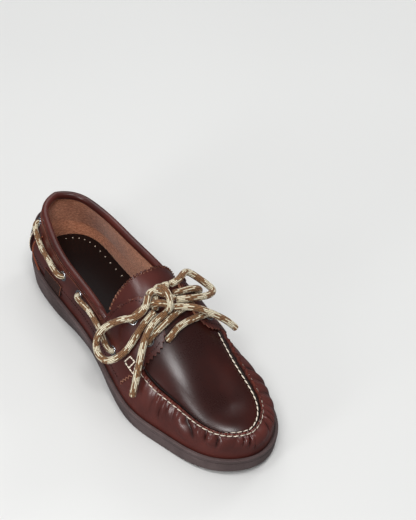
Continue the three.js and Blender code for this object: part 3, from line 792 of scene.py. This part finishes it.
# %% [markdown]
# The sole is a ring of ribs like the last's, each a cut through the sole: flat tread, round
# bottom edge, wall, a groove, and the lip that the leather stands behind. The wall leans in
# towards the waist on the outer side, so the sole looks thin there from above.

# %% The sole
def underside(x):
    arch = ease(-85, -45, x) * (1 - ease(-35, 15, x))
    return 3 * arch + 6 * np.maximum(0, (x - 80) / (LENGTH / 2 - 80)) ** 2


def rings(u, w, profile_at, ends):
    """A solid in rings round the outline, drawn together to the middle at both ends.

    profile_at(x, t) gives each ring's inset from the sole's edge and its height; ends gives
    the middle's height over x, below and above.
    """
    side, t = both_sides(u)
    x, y, out_x, out_y = edge_at(side, t)
    profile = profile_at(x, t)
    row = np.rint(w * (len(profile) - 1)).astype(int)
    inset, z = (np.choose(row, list(column)) for column in zip(*profile))
    place = np.stack([x - out_x * inset, y - out_y * inset, z], -1)
    middle_x, middle_y = rib["x"](t), rib["y"](t)
    for end, height in zip((0, len(profile) - 1), ends):
        middle = np.stack([middle_x, middle_y, height(middle_x)], -1)
        place[row == end] = middle[row == end]
    return place


def sole_profile(x, t):
    bottom, deck, tuck = underside(x), deck_at(x), rib["tuck"](t)
    lip = deck + RIM_HEIGHT
    groove = deck + RIM_HEIGHT - 3.6
    mid = (bottom + groove) / 2
    lean = np.clip((mid - bottom - 1.5) / (groove - 2.3 - bottom), 0, 1)
    return [
        (tuck + 30, bottom), (tuck + 1.5, bottom), (tuck + 0.9, bottom + 0.15),
        (tuck + 0.25, bottom + 0.8), (tuck + (0.3 - tuck) * lean, mid),
        (0.3, groove - 0.8), (0.35, groove - 0.45), (1.1, groove), (0.15, groove + 0.45),
        (0.0, groove + 0.8), (0.1, lip - 0.6), (0.7, lip - 0.05), (RIM - 0.8, lip - 0.05),
        (RIM - 0.2, lip - 0.5), (RIM + 0.1, deck), (RIM + 12, deck), (0.0, deck),
    ]


SOLE_ROWS = 16 # one less than the profile's rings


def sole_place(u, w):
    return rings(u, w, sole_profile, (underside, deck_at))


sole = lay("sole", 480, SOLE_ROWS, sole_place)
smooth(sole, 35)
show(sole, RUBBER, "sole", "outsole")


# %% [markdown]
# The wall of the moccasin goes all round the foot and up to the seam. Where it is gathered
# to the shorter apron, round the toe, the spare length stands in puckers: narrow creases
# under the seam with round swellings between, which die out towards the sole. Their places
# are uneven, so the wave that makes them is itself bent.

# %% The vamp's wall
PUCKERS, PUCKER_LIFT, GATHER = 29, 3.2, 0.66 # a side; millimetres; the t where they begin


def puckers(side, t, v, seam):
    share = v / seam
    bend = 1.5 * np.sin(27 * t + side) + 0.9 * np.sin(53 * t + 2 * side)
    lean = 2.2 * (share - 0.7) * np.sin(19 * t + side)
    tubes = np.abs(np.sin(math.pi * PUCKERS * t + bend + lean)) ** 0.9 - 0.5
    fine = np.abs(np.sin(math.pi * 67 * t + 2 * bend - lean)) - 0.6
    uneven = 0.72 + 0.30 * np.sin(33 * t + 1.3 * side) + 0.22 * np.sin(74 * t + 2 * side)
    strength = ease(GATHER, 0.75, t) * np.maximum(uneven, 0.2)
    low = 0.18 + 0.10 * np.sin(61 * t + side)
    tall = ease(low, low + 0.34, share) * (1 - 0.8 * ease(0.66, 0.97, share))
    under_seam = ease(0.55, 0.75, share) * ease(1.05, 0.9, share)
    return strength * (PUCKER_LIFT * tubes * tall + 0.7 * fine * under_seam)


def towards_toe(u):
    """Both sides in one run, with half its steps by the toe."""
    side, share = both_sides(u)
    return side, np.where(share < 0.5, share * 1.24, 0.62 + (share - 0.5) * 0.76)


def wall_place(u, w):
    side, t = towards_toe(u)
    seam = seam_of(side, t)
    v = w * seam
    lift = puckers(side, t, v, seam)[:, None]
    return on_last(side, t, v) + outward(side, t, np.maximum(v, 0.01)) * lift


def wall_crease_shade(u, w):
    """Painted shade for the creases: darkest in the deepest, and a little all along the seam."""
    side, t = towards_toe(u)
    seam = seam_of(side, t)
    lift = puckers(side, t, w * seam, seam)
    return 0.85 * ease(0.1, -1.5, lift) * ease(GATHER, 0.74, t)


wall = lay("vamp_wall", 720, 44, wall_place, crease_shade_at=wall_crease_shade)
skive(wall, WALL, edge=0)
show(wall, GATHERED, "leather", "upper")


# %% The apron
def apron_place(u, w):
    across = 1 - 2 * w
    side = np.where(across < 0, MEDIAL, LATERAL)
    start = SEAM_START - 0.012 # a little under the tabs
    t = start + (1 - start) * u
    seam = seam_of(side, t)
    v = 1 - np.abs(across) * (1 - seam)
    sink = -1.6 * ease(0.105, 0.02, v - seam)
    return on_last(side, t, v) + [0, 0, 1] * (sink * ease(GATHER, 0.7, t))[:, None]


def from_rim(obj):
    """How far each point of an open piece lies from its rim, in millimetres."""
    uses = {}
    for face in obj.data.polygons:
        for key in face.edge_keys:
            uses[key] = uses.get(key, 0) + 1
    rim = {point for key, count in uses.items() if count == 1 for point in key}
    tree = kdtree.KDTree(len(rim))
    for index in rim:
        tree.insert(obj.data.vertices[index].co, index)
    tree.balance()
    return np.array([tree.find(point.co)[2] for point in obj.data.vertices]) / MM


def bare_edge(obj, *where, width=0.7):
    """Gives the second slot to the faces by the rim where each test on x, y, z in mm holds."""
    gaps = from_rim(obj)
    for face in obj.data.polygons:
        middle = np.array(face.center) / MM
        near = max(gaps[point] for point in face.vertices) < width
        face.material_index = int(near and all(test(*middle) for test in where))


apron = lay("apron", 150, 110, apron_place)
inner = apron.vertex_groups.new(name="inner")
for index, weight in enumerate(ease(1.5, 8, from_rim(apron))):
    inner.add([index], weight, "REPLACE")
modify(apron, "SMOOTH", factor=0.5, iterations=700, vertex_group="inner")
apron.vertex_groups.clear()
skive(apron, WALL, edge=0)
show(apron, APRON, "leather")


# %% [markdown]
# The seam stands up because both edges are held together upright and sewn through. Two
# lips with a dark crack between them run round the apron, and lines of thick white thread
# show on both their sides.

# %% The raised seam
def along_seam(u, last=0.648):
    """The seam from its lateral end, round the toe, to its medial end."""
    s = (1 - 2 * u) * (1 - last)
    return np.where(s > 0, LATERAL, MEDIAL), 1 - np.abs(s)


WELT_HALF = 0.033 # half its width, as a share of a rib


def ridge_place(u, w):
    side, t = along_seam(u)
    v = seam_of(side, t) + WELT_HALF * (2 * w - 1)
    outer = ease(0.0, 0.16, w) * ease(0.72, 0.60, w)
    inner = 0.6 * ease(0.72, 0.80, w) * ease(1.0, 0.88, w)
    ends = ease(0, 0.02, u) * ease(1, 0.98, u)
    uneven = 1 + 0.07 * np.sin(2 * math.pi * 66 * t) + 0.10 * np.sin(2 * math.pi * 23 * t + side)
    lift = -1.4 + 4.6 * np.maximum(outer, inner) * uneven * (0.4 + 0.6 * ends)
    return over_last(side, t, v, lift)


def welt():
    """Waxed leather on the outer lip; from the crack inwards, painted shade, near black, as the
    valley between the lips lies in shadow.
    """
    hide = Finish("seam leather", specular_ior_level=0.5)
    _, across, _ = hide.axes(hide.node("UVMap", {"uv_map": "UVMap"}))
    creases = hide.noise(420, 3)
    # painted shade: the crack and the inner lip are coloured near black, as if in shadow
    inwards = (across + creases * 0.08).above(0.64, 0.72)
    worn = hide.mix(creases.above(0.35, 0.65), srgb(66, 28, 22), srgb(100, 46, 36))
    hide.wear(base_color=hide.mix(inwards, worn, srgb(30, 17, 15)))
    hide.wear(roughness=inwards * 0.3 + creases * 0.1 + 0.25)
    return hide.bump(creases, 0.15).material


ridge = lay("seam_ridge", 460, 30, ridge_place)
edit(ridge, TURNED)
smooth(ridge, 60)
show(ridge, welt(), "leather")


# %% [markdown]
# Quarters are the sides at the back, each with the tab that carries the bow's eyelets.
# They lie over the wall, a finger's breadth above the sole. Pinking shears have cut the
# tab's front and back edges, and the tongue's, into small teeth.

# %% The quarters
TAB_LIFT, QUARTER_LIFT, QUARTER_THICK = 2.3, 1.0, 1.5
QUARTER_LOW = 11 # height of the quarter's lower edge over the deck, in millimetres
FRONT = columns("v t", [
    (0, 0.598), (0.09, 0.602), (0.2, 0.618), (0.33, 0.637), (0.44, 0.648), (0.5, 0.654),
    (0.6, 0.657), (0.72, 0.656), (0.8, 0.640), (0.9, 0.62),
])
front_edge = Curve(FRONT["v"], FRONT["t"])


def teeth(distance, pitch=4.3):
    """A zigzag from 0 to 1, by the distance along an edge in millimetres."""
    return np.abs((distance / pitch) % 1 - 0.5) * 2


def quarter_low(side, t):
    return v_at_height(side, t, deck_at(edge_at(side, t)[0]) + QUARTER_LOW)


def quarter_lift(t, v):
    """The tab lies higher than the rest, because there are more layers under it."""
    return QUARTER_LIFT + (TAB_LIFT - QUARTER_LIFT) * ease(0.5, 0.56, t) * ease(0.30, 0.46, v)


SIDE_STEPS, TAB_BACK = 0.36, 0.45
PINK_DEEP, FRONT_LONG = 0.0075, 92 # of the tab's front edge: its teeth, in t, and its length in mm
FOOT_FRONT = 30 # millimetres from the middle, just behind its foremost edge


def quarter_place(side):
    def place(u, w):
        rows = 1 - (1 - w) ** 1.25
        t_guess = u * 0.64
        low = quarter_low(side, t_guess)
        top = np.where(t_guess < 0.56, top_of(side, t_guess), tab_edge(side, t_guess))
        v = low + (top - low) * rows
        pinked = (ease(0.42, 0.45, v) + ease(0.33, 0.30, v)) * ease(0.94, 1, u)
        last = front_edge(v) - pinked * teeth(v * FRONT_LONG) * PINK_DEEP
        in_tab = (u - SIDE_STEPS) / (1 - SIDE_STEPS)
        t = np.where(in_tab < 0, u / SIDE_STEPS * TAB_BACK, TAB_BACK + in_tab * (last - TAB_BACK))
        low = quarter_low(side, t)
        bite = ease(0.47, 0.49, t) * ease(0.90, 1, rows) * teeth(t * 330 + v * 60)
        top = top_of(side, t - 0.004 * bite) - 0.017 * bite
        v = low + (top - low) * rows
        return over_last(side, t, v, quarter_lift(t, v))
    return place


for word, side in SIDES.items():
    quarter = lay(f"quarter_{word}", 300, 80, quarter_place(side))
    if side == MEDIAL:
        edit(quarter, TURNED)
    bare_edge(quarter, lambda x, y, z: x > (2 if z > 46 else FOOT_FRONT), width=0.5)
    skive(quarter, QUARTER_THICK, edge=0.15)
    show(quarter, OXBLOOD, "leather", f"tab_{word}", cut=DARK_RAW)


# %% [markdown]
# Inside, tan suede lines the quarters from the footbed to the collar. The footbed is dark
# leather, punched with a row of small pale dots near its edge.

# %% Lining and footbed
LINING_REACH, LINING_LIFT, LINING_THICK = 0.655, -0.55, 1.75
LINING_FREE = 0.35 # the share of its height above which a pad holds it straight


def lining_place(u, w):
    side, t = both_sides(u, LINING_REACH)
    top = top_of(side, t) - 0.015
    low, high = (on_last(side, t, v, LINING_LIFT) for v in (LINING_FREE * top, top))
    share = np.clip((w - LINING_FREE) / (1 - LINING_FREE), 0, 1)[:, None]
    padded = (ease(0.46, 0.36, t) * (w > LINING_FREE))[:, None]
    on_leather = on_last(side, t, w * top, LINING_LIFT)
    return on_leather * (1 - padded) + (low + (high - low) * share) * padded


lining = lay("lining", 260, 30, lining_place)
skive(lining, LINING_THICK, edge=0)
show(lining, SUEDE, "lining")

INSOLE_THICK = 3


def insole_profile(x, t):
    base, inset = deck_at(x) + GAP, FEATHER_INSET + WALL + 0.5
    top = base + INSOLE_THICK
    return [(inset, base), (inset, base), (inset, top - 0.8), (inset + 0.8, top), (inset, base)]


def insole_place(u, w):
    def under(x):
        return deck_at(x) + GAP
    return rings(u, w, insole_profile, (under, lambda x: under(x) + INSOLE_THICK))


insole = lay("footbed", 200, 4, insole_place)
smooth(insole, 50)
show(insole, FOOTBED, "lining", "insole")


# %% The tongue
TONGUE_BACK, TONGUE_FRONT, TONGUE_LOW = 0.468, 0.66, 0.38
TONGUE_LIFT, TONGUE_THICK = -WALL - 1.3, 1.4


def tongue_place(u, w):
    across = 2 * w - 1
    side = np.where(across < 0, LATERAL, MEDIAL)
    bite = 0.0062 * teeth(across * 62 + 1.8, 4.6) * ease(0.05, 0.0, u)
    t = TONGUE_BACK + bite + (TONGUE_FRONT - TONGUE_BACK - bite) * u**1.3
    v = 1 - np.abs(across) * (1 - TONGUE_LOW)
    return on_last(side, t, v, TONGUE_LIFT)


tongue = lay("tongue_cut", 70, 240, tongue_place)
bare_edge(tongue, lambda x, y, z: x < 10, width=0.3)
skive(tongue, TONGUE_THICK, edge=0.15)
show(tongue, OXBLOOD, "leather", "tongue", cut=RAW)


# %% [markdown]
# The collar is a strip of soft leather rolled over a thin pad, turned in and sewn down, so
# it shows a full round top and a narrow welt under it on the outside.

# %% The collar's roll
ROLL_END = 0.5 # under the tab, where it tapers off


def roll_place(u, w):
    side, t = both_sides(u, ROLL_END)
    v = v_at_height(side, t, collar_height(side, t) - ROLL_TALL / 2)
    middle = on_last(side, t, v, ROLL_OUT - ROLL_HALF)
    _, _, out_x, out_y = edge_at(side, t)
    angle = 2 * math.pi * w
    across = ROLL_HALF * np.sign(np.cos(angle)) * np.abs(np.cos(angle)) ** 0.75
    tall = ROLL_TALL / 2 * np.sign(np.sin(angle)) * np.abs(np.sin(angle)) ** 0.85
    around = np.mod(angle + math.pi, 2 * math.pi) - math.pi
    across = across - 0.8 * np.exp(-(((around - 0.15) / 0.13) ** 2))
    taper = ease(ROLL_END, ROLL_END - 0.06, t)
    shut = rounded(np.minimum(u, 1 - u) / 0.006)
    girth = shut * (0.25 + 0.75 * taper)
    middle[:, 0] += out_x * (across * girth - 2 * (1 - taper))
    middle[:, 1] += out_y * (across * girth - 2 * (1 - taper))
    middle[:, 2] += tall * girth - 2.5 * (1 - taper)
    return middle


roll = lay("collar_binding", 300, 36, roll_place)
edit(roll, OUTWARDS)
smooth(roll, 60)
show(roll, OXBLOOD, "leather", "collar_roll")

# %% The heel's patch
PATCH_REACH, PATCH_LOW, PATCH_HIGH, PATCH_THICK = 0.105, 31, 56.4, 2


def patch_place(u, w):
    side, t = both_sides(u, PATCH_REACH)
    v = v_at_height(side, t, PATCH_LOW + (PATCH_HIGH - PATCH_LOW) * w)
    return over_last(side, t, v, (QUARTER_LIFT + PATCH_THICK) + 0 * t)


patch = lay("heel_patch_cut", 60, 20, patch_place)
skive(patch, PATCH_THICK, edge=0.6)
show(patch, PATCH, "leather", "heel_patch")


# %% [markdown]
# Stitches, eyelets and dots are each modelled once and set down many times. The stitch is
# a small ball drawn out; the eyelet is a half round section spun into a ring.

# %% Setting down copies
def set_down(name, pattern, origins, forward, normals):
    """One mesh of a pattern's copies, its X along forward and its Z along normals."""
    count = len(pattern.data.vertices)
    shape = np.empty(count * 3)
    pattern.data.vertices.foreach_get("co", shape)
    shape = shape.reshape(-1, 3)
    normals = unit(normals)
    forward = unit(forward - normals * np.sum(forward * normals, -1, keepdims=True))
    sideways = np.cross(normals, forward)
    axes = np.stack([forward, sideways, normals], 1)
    points = np.einsum("vk,nkj->nvj", shape, axes) + origins[:, None, :] * MM
    faces = [tuple(p.vertices) for p in pattern.data.polygons]
    every = [tuple(v + i * count for v in face) for i in range(len(origins)) for face in faces]
    mesh = bpy.data.meshes.new(name)
    mesh.from_pydata(points.reshape(-1, 3).tolist(), [], every)
    obj = bpy.data.objects.new(name, mesh)
    bpy.context.collection.objects.link(obj)
    smooth(obj, 60)
    return obj


def stitch_pattern(length, radius):
    bpy.ops.mesh.primitive_uv_sphere_add(segments=8, ring_count=6, radius=radius * MM)
    obj = bpy.context.object
    edit(obj, (bpy.ops.transform.resize, {"value": (length / 2 / radius, 1, 0.8)}))
    return obj


def seam_line(name, paths, material, slot, length=2.2, pitch=3.0, radius=0.35, slant=0.0):
    """Stitches along paths on the last: each path gives side, t, v and lift arrays.

    A stitch's length, pitch and radius are in millimetres, and slant turns it off the line.
    """
    pattern = stitch_pattern(length, radius)
    origins, forward, normals = [], [], []
    for side, t, v, lift in paths:
        side, t, v, lift = np.broadcast_arrays(np.asarray(side, float), t, v, lift)
        line = over_last(side, t, v, lift)
        lengths = running(step_sizes(line))
        places = np.arange(pitch / 2, lengths[-1], pitch)
        upright = unit(between(places, lengths, outward(side, t, v)))
        ahead = unit(between(places, lengths, np.gradient(line, axis=0)))
        origins.append(between(places, lengths, line))
        forward.append(ahead + slant * np.cross(upright, ahead))
        normals.append(upright)
    obj = set_down(name, pattern, *(np.concatenate(rows) for rows in (origins, forward, normals)))
    bpy.data.objects.remove(pattern)
    return show(obj, material, slot)


def on_quarter(side, t, v, above):
    return side, t, v, quarter_lift(t, v) + above


def drawn(side, points, above, count=80):
    """A smooth path on one quarter through a few places (t, v)."""
    t, v = np.array(points, float).T
    knots = np.arange(len(points))
    at = np.linspace(0, len(points) - 1, count)
    return on_quarter(side, Curve(knots, t)(at), Curve(knots, v)(at), above)


def straight(side, corners, above):
    """Paths on one quarter along straight lines between places (t, v)."""
    return [on_quarter(side, np.linspace(a[0], b[0], 12), np.linspace(a[1], b[1], 12), above)
            for a, b in zip(corners, corners[1:])]


# %% White thread along the seam, and the box that ends it
run = np.linspace(0, 1, 900)
seam_side, seam_t = along_seam(run, 0.653)
hidden = np.where(seam_side == LATERAL, ease(0.97, 0.90, seam_t), 0)
outer = (seam_side, seam_t, seam_of(seam_side, seam_t) - WELT_HALF * 0.96, 1.5)
inner = (seam_side, seam_t, seam_of(seam_side, seam_t) + WELT_HALF * 1.1, -0.3 - 1.6 * hidden)
seam_line("seam_thread", [outer, inner], WHITE_THREAD, "lace", 4.8, 4.95, 0.58, slant=0.12)
BOX = [(0.597, 0.318), (0.607, 0.412), (0.630, 0.436), (0.637, 0.342), (0.597, 0.318)]
BAR = [(0.617, 0.33), (0.625, 0.43)]
boxes = [path for side in SIDES.values()
         for path in straight(side, BOX, 0.25) + straight(side, BAR, 0.25)]
seam_line("box_thread", boxes, WHITE_THREAD, "lace", 3.1, 3.0, 0.6)

# %% Rust and brown thread on the quarters
COUNTER = [(0.151, 0.34), (0.125, 0.24), (0.128, 0.14), (0.16, 0.03)]
COUNTER_ARC = [(0.222, 0.105), (0.236, 0.15), (0.248, 0.20), (0.257, 0.235)]
rust, brown, frayed = [], [], []
for side in SIDES.values():
    t_low = np.linspace(0.1, 0.585, 300)
    brown.append(on_quarter(side, t_low, quarter_low(side, t_low) + 0.03, 0.1))
    v_front = np.linspace(0.13, 0.31, 200)
    t_front = front_edge(v_front) - 0.0055 * teeth(v_front * FRONT_LONG)
    frayed.append(on_quarter(side, t_front, v_front, 0.05))
    rust.append(drawn(side, COUNTER, 0.75))
    v_tab = np.linspace(0.47, 0.74, 60)
    brown.append(on_quarter(side, front_edge(v_tab) - 0.016, v_tab, 0.1))
    t_back = np.linspace(0.485, 0.56, 60)
    brown.append(on_quarter(side, t_back, top_of(side, t_back) - 0.07, 0.1))
    brown.append(drawn(side, COUNTER_ARC, 0.1))
seam_line("rust_thread", rust, RUST_THREAD, "leather", 2.3, 2.6, 0.4)
seam_line("brown_thread", brown, TONAL_THREAD, "leather", 2.0, 2.8, 0.36)
seam_line("frayed_edge", frayed, RAW, "leather", 1.5, 1.1, 0.3)

# %% The raised seam of the heel counter
for word, side in SIDES.items():
    _, t_strip, v_strip, _ = drawn(side, COUNTER, 0, 100)
    edges = np.linspace(0, 1, 100)

    def strip_place(u, w):
        t, v = np.interp(u, edges, t_strip), np.interp(u, edges, v_strip)
        lift = QUARTER_LIFT - 0.3 + 1.0 * np.sin(math.pi * w) ** 0.7
        return over_last(side, t + 0.0035 * (w - 0.5), v, lift)

    strip = lay(f"counter_seam_{word}", 60, 8, strip_place)
    if side == MEDIAL:
        edit(strip, TURNED)
    smooth(strip, 60)
    show(strip, RUST_THREAD, "leather")

# %% White thread on the heel's patch
patch_paths = []
ON_PATCH = QUARTER_LIFT + PATCH_THICK + 0.15
for side in SIDES.values():
    z = np.linspace(PATCH_LOW + 2, PATCH_HIGH - 1, 30)
    t_side = np.full(30, PATCH_REACH - 0.005)
    patch_paths.append((side, t_side, v_at_height(side, t_side, z), ON_PATCH))
    t_low = np.linspace(0.0, PATCH_REACH - 0.008, 40)
    patch_paths.append((side, t_low, v_at_height(side, t_low, PATCH_LOW + 2), ON_PATCH))
seam_line("patch_thread", patch_paths, WHITE_THREAD, "lace", 3.0, 3.2, 0.62)

# %% Eyelets
RING_RADIUS, RING_SECTION = 3.6, 0.85
bpy.ops.mesh.primitive_circle_add(vertices=10, radius=RING_SECTION * MM,
                                  location=(RING_RADIUS * MM, 0, 0), rotation=(math.pi / 2, 0, 0))
ring = bpy.context.object
bpy.ops.object.transform_apply(location=True, rotation=True)
full_turn = {"steps": 28, "angle": 2 * math.pi, "center": (0, 0, 0), "axis": (0, 0, 1)}
edit(ring, (bpy.ops.mesh.spin, full_turn), (bpy.ops.mesh.remove_doubles, {"threshold": 1e-6}),
     OUTWARDS)
for word, side in SIDES.items():
    for name, (t, v) in EYELETS.items():
        lift = (TAB_LIFT if "tie" in name else QUARTER_LIFT) + 0.15
        t, v = np.array([t]), np.array([v])
        origin = over_last(side, t, v, np.array([lift]))
        ahead = on_last(side, t + 0.01, v) - on_last(side, t, v)
        upright = outward(np.array([side]), t, v)
        eyelet = set_down(f"ring_{name}_{word}", ring, origin, ahead, upright)
        show(eyelet, METAL, "eyelet", f"eyelet_{name}_{word}")
bpy.data.objects.remove(ring)

# %% Dots on the footbed
DOT_RADIUS, DOT_INSET = 0.55, FEATHER_INSET + WALL + 6.5
bpy.ops.mesh.primitive_uv_sphere_add(segments=10, ring_count=6, radius=DOT_RADIUS * MM)
dot = bpy.context.object
edit(dot, (bpy.ops.transform.resize, {"value": (1, 1, 0.35)}))
t_dots = np.arange(0.03, 0.62, 0.0255)
origins = []
for side in SIDES.values():
    x, y, out_x, out_y = edge_at(side, t_dots)
    top = deck_at(x) + GAP + INSOLE_THICK
    origins.append(np.stack([x - out_x * DOT_INSET, y - out_y * DOT_INSET, top], -1))
origins = np.concatenate(origins)
flat_ahead, flat_up = (np.tile(axis, (len(origins), 1)) for axis in ([1.0, 0, 0], [0, 0, 1.0]))
dots = set_down("footbed_dots", dot, origins, flat_ahead, flat_up)
bpy.data.objects.remove(dot)
show(dots, WHITE_THREAD, "lining")


# %% [markdown]
# A small woven tag, left blank, is sewn to the outer side only, above the sole.

# %% The tag on the outer side
TAG_LOW, TAG_HIGH = 4.5, 20 # millimetres over the deck
TAG_BACK, TAG_LONG, TAG_LEAN = 0.199, 0.078, 0.012 # in t


def woven():
    cloth = Finish("woven tag", specular_ior_level=0.2, roughness=0.85)
    u, v, _ = cloth.axes(cloth.node("UVMap", {"uv_map": "UVMap"}))
    weave = (u * 170).sine() * (v * 130).sine()
    tone = (weave + cloth.noise(300, 2)).above(0.2, 1.0)
    cloth.wear(base_color=cloth.mix(tone, srgb(46, 30, 28), srgb(84, 58, 52)))
    return cloth.bump(weave, 0.2).material


def on_tag(u, w):
    t = TAG_BACK + TAG_LONG * u + TAG_LEAN * w
    deck = deck_at(edge_at(LATERAL, t)[0])
    low, high = (v_at_height(LATERAL, t, deck + height) for height in (TAG_LOW, TAG_HIGH))
    return LATERAL, t, low + (high - low) * w, QUARTER_LIFT + 0.7 + 0 * t


def tag_place(u, w):
    return over_last(*on_tag(u, w))


tag = lay("blank_tag", 40, 20, tag_place)
skive(tag, 0.8, edge=0.2)
show(tag, woven(), "leather")
run = np.linspace(0, 1, 60)
hems = [on_tag(run, 0.96 + 0 * run), on_tag(0.97 + 0 * run, 1 - run)]
seam_line("tag_thread", hems, RUST_THREAD, "leather", 1.9, 2.2, 0.35)

# %% [markdown]
# The stage is a pale, seamless floor. A soft light overhead, a little to the outer side,
# lays the broad highlight on the apron, and a smaller one the tongue's. A low one on the
# outer side picks out the puckers, and one behind lights the collar. Polished leather
# would mirror a bright floor or ceiling as a grey veil, so the floor, the ceiling and the
# two fills are left out of what gloss can see.

# %% Floor and light
bpy.ops.mesh.primitive_plane_add(size=8)
floor = bpy.context.object
floor.name = "floor"
floor.visible_glossy = False
paper = Finish("paper", specular_ior_level=0.1, roughness=0.9)
pulp = paper.noise(3, 1).above(0.2, 0.8)
paper.wear(base_color=paper.mix(pulp, srgb(223, 223, 221), srgb(226, 226, 224)))
floor.data.materials.append(paper.material)

world = bpy.data.worlds.new("studio")
bpy.context.scene.world = world
world.use_nodes = True
sky = world.node_tree.nodes["Background"]
sky.inputs["Color"].default_value = (0.94, 0.96, 1.0, 1)
ray = world.node_tree.nodes.new("ShaderNodeLightPath")
less = world.node_tree.nodes.new("ShaderNodeMapRange")
less.inputs["To Min"].default_value, less.inputs["To Max"].default_value = 0.26, 0.12
world.node_tree.links.new(ray.outputs["Is Glossy Ray"], less.inputs["Value"])
world.node_tree.links.new(less.outputs["Result"], sky.inputs["Strength"])
bpy.context.scene.view_settings.view_transform = "Standard"


# Each light's place, aim, width and height in metres, power, and whether gloss mirrors it.
LIGHTS = {
    "key": ((0.62, -0.26, 1.85), (0, 0, 0), (0.45, 0.45), 9, True),
    "tongue light": ((-0.1, -0.8, 1.8), (0, 0, 0), (0.4, 0.4), 4, True),
    "side": ((0.3, -1.6, 0.5), (0, 0, 0), (0.36, 0.6), 6.5, True),
    "back": ((-1.2, 0.6, 1.4), (0, 0, 0), (0.9, 0.9), 4, True),
    "fill": ((0.7, -0.9, 1.3), (-0.1, 0, 0.05), (0.4, 0.4), 7, False),
    "ceiling": ((0, 0, 2.6), (0, 0, 0), (3, 3), 19.5, False),
    "inner side fill": ((-0.4, 1.5, 0.9), (0, 0, 0.03), (0.5, 0.5), 5, False),
}
for name, (place, aim, size, power, in_gloss) in LIGHTS.items():
    light = bpy.data.lights.new(name, "AREA")
    light.shape, light.size, light.size_y, light.energy = "RECTANGLE", *size, power
    softbox = bpy.data.objects.new(name, light)
    bpy.context.collection.objects.link(softbox)
    softbox.location = place
    softbox.rotation_euler = (Vector(aim) - Vector(place)).to_track_quat("-Z", "Y").to_euler()
    softbox.visible_glossy = in_gloss
print("lights:", len(LIGHTS))
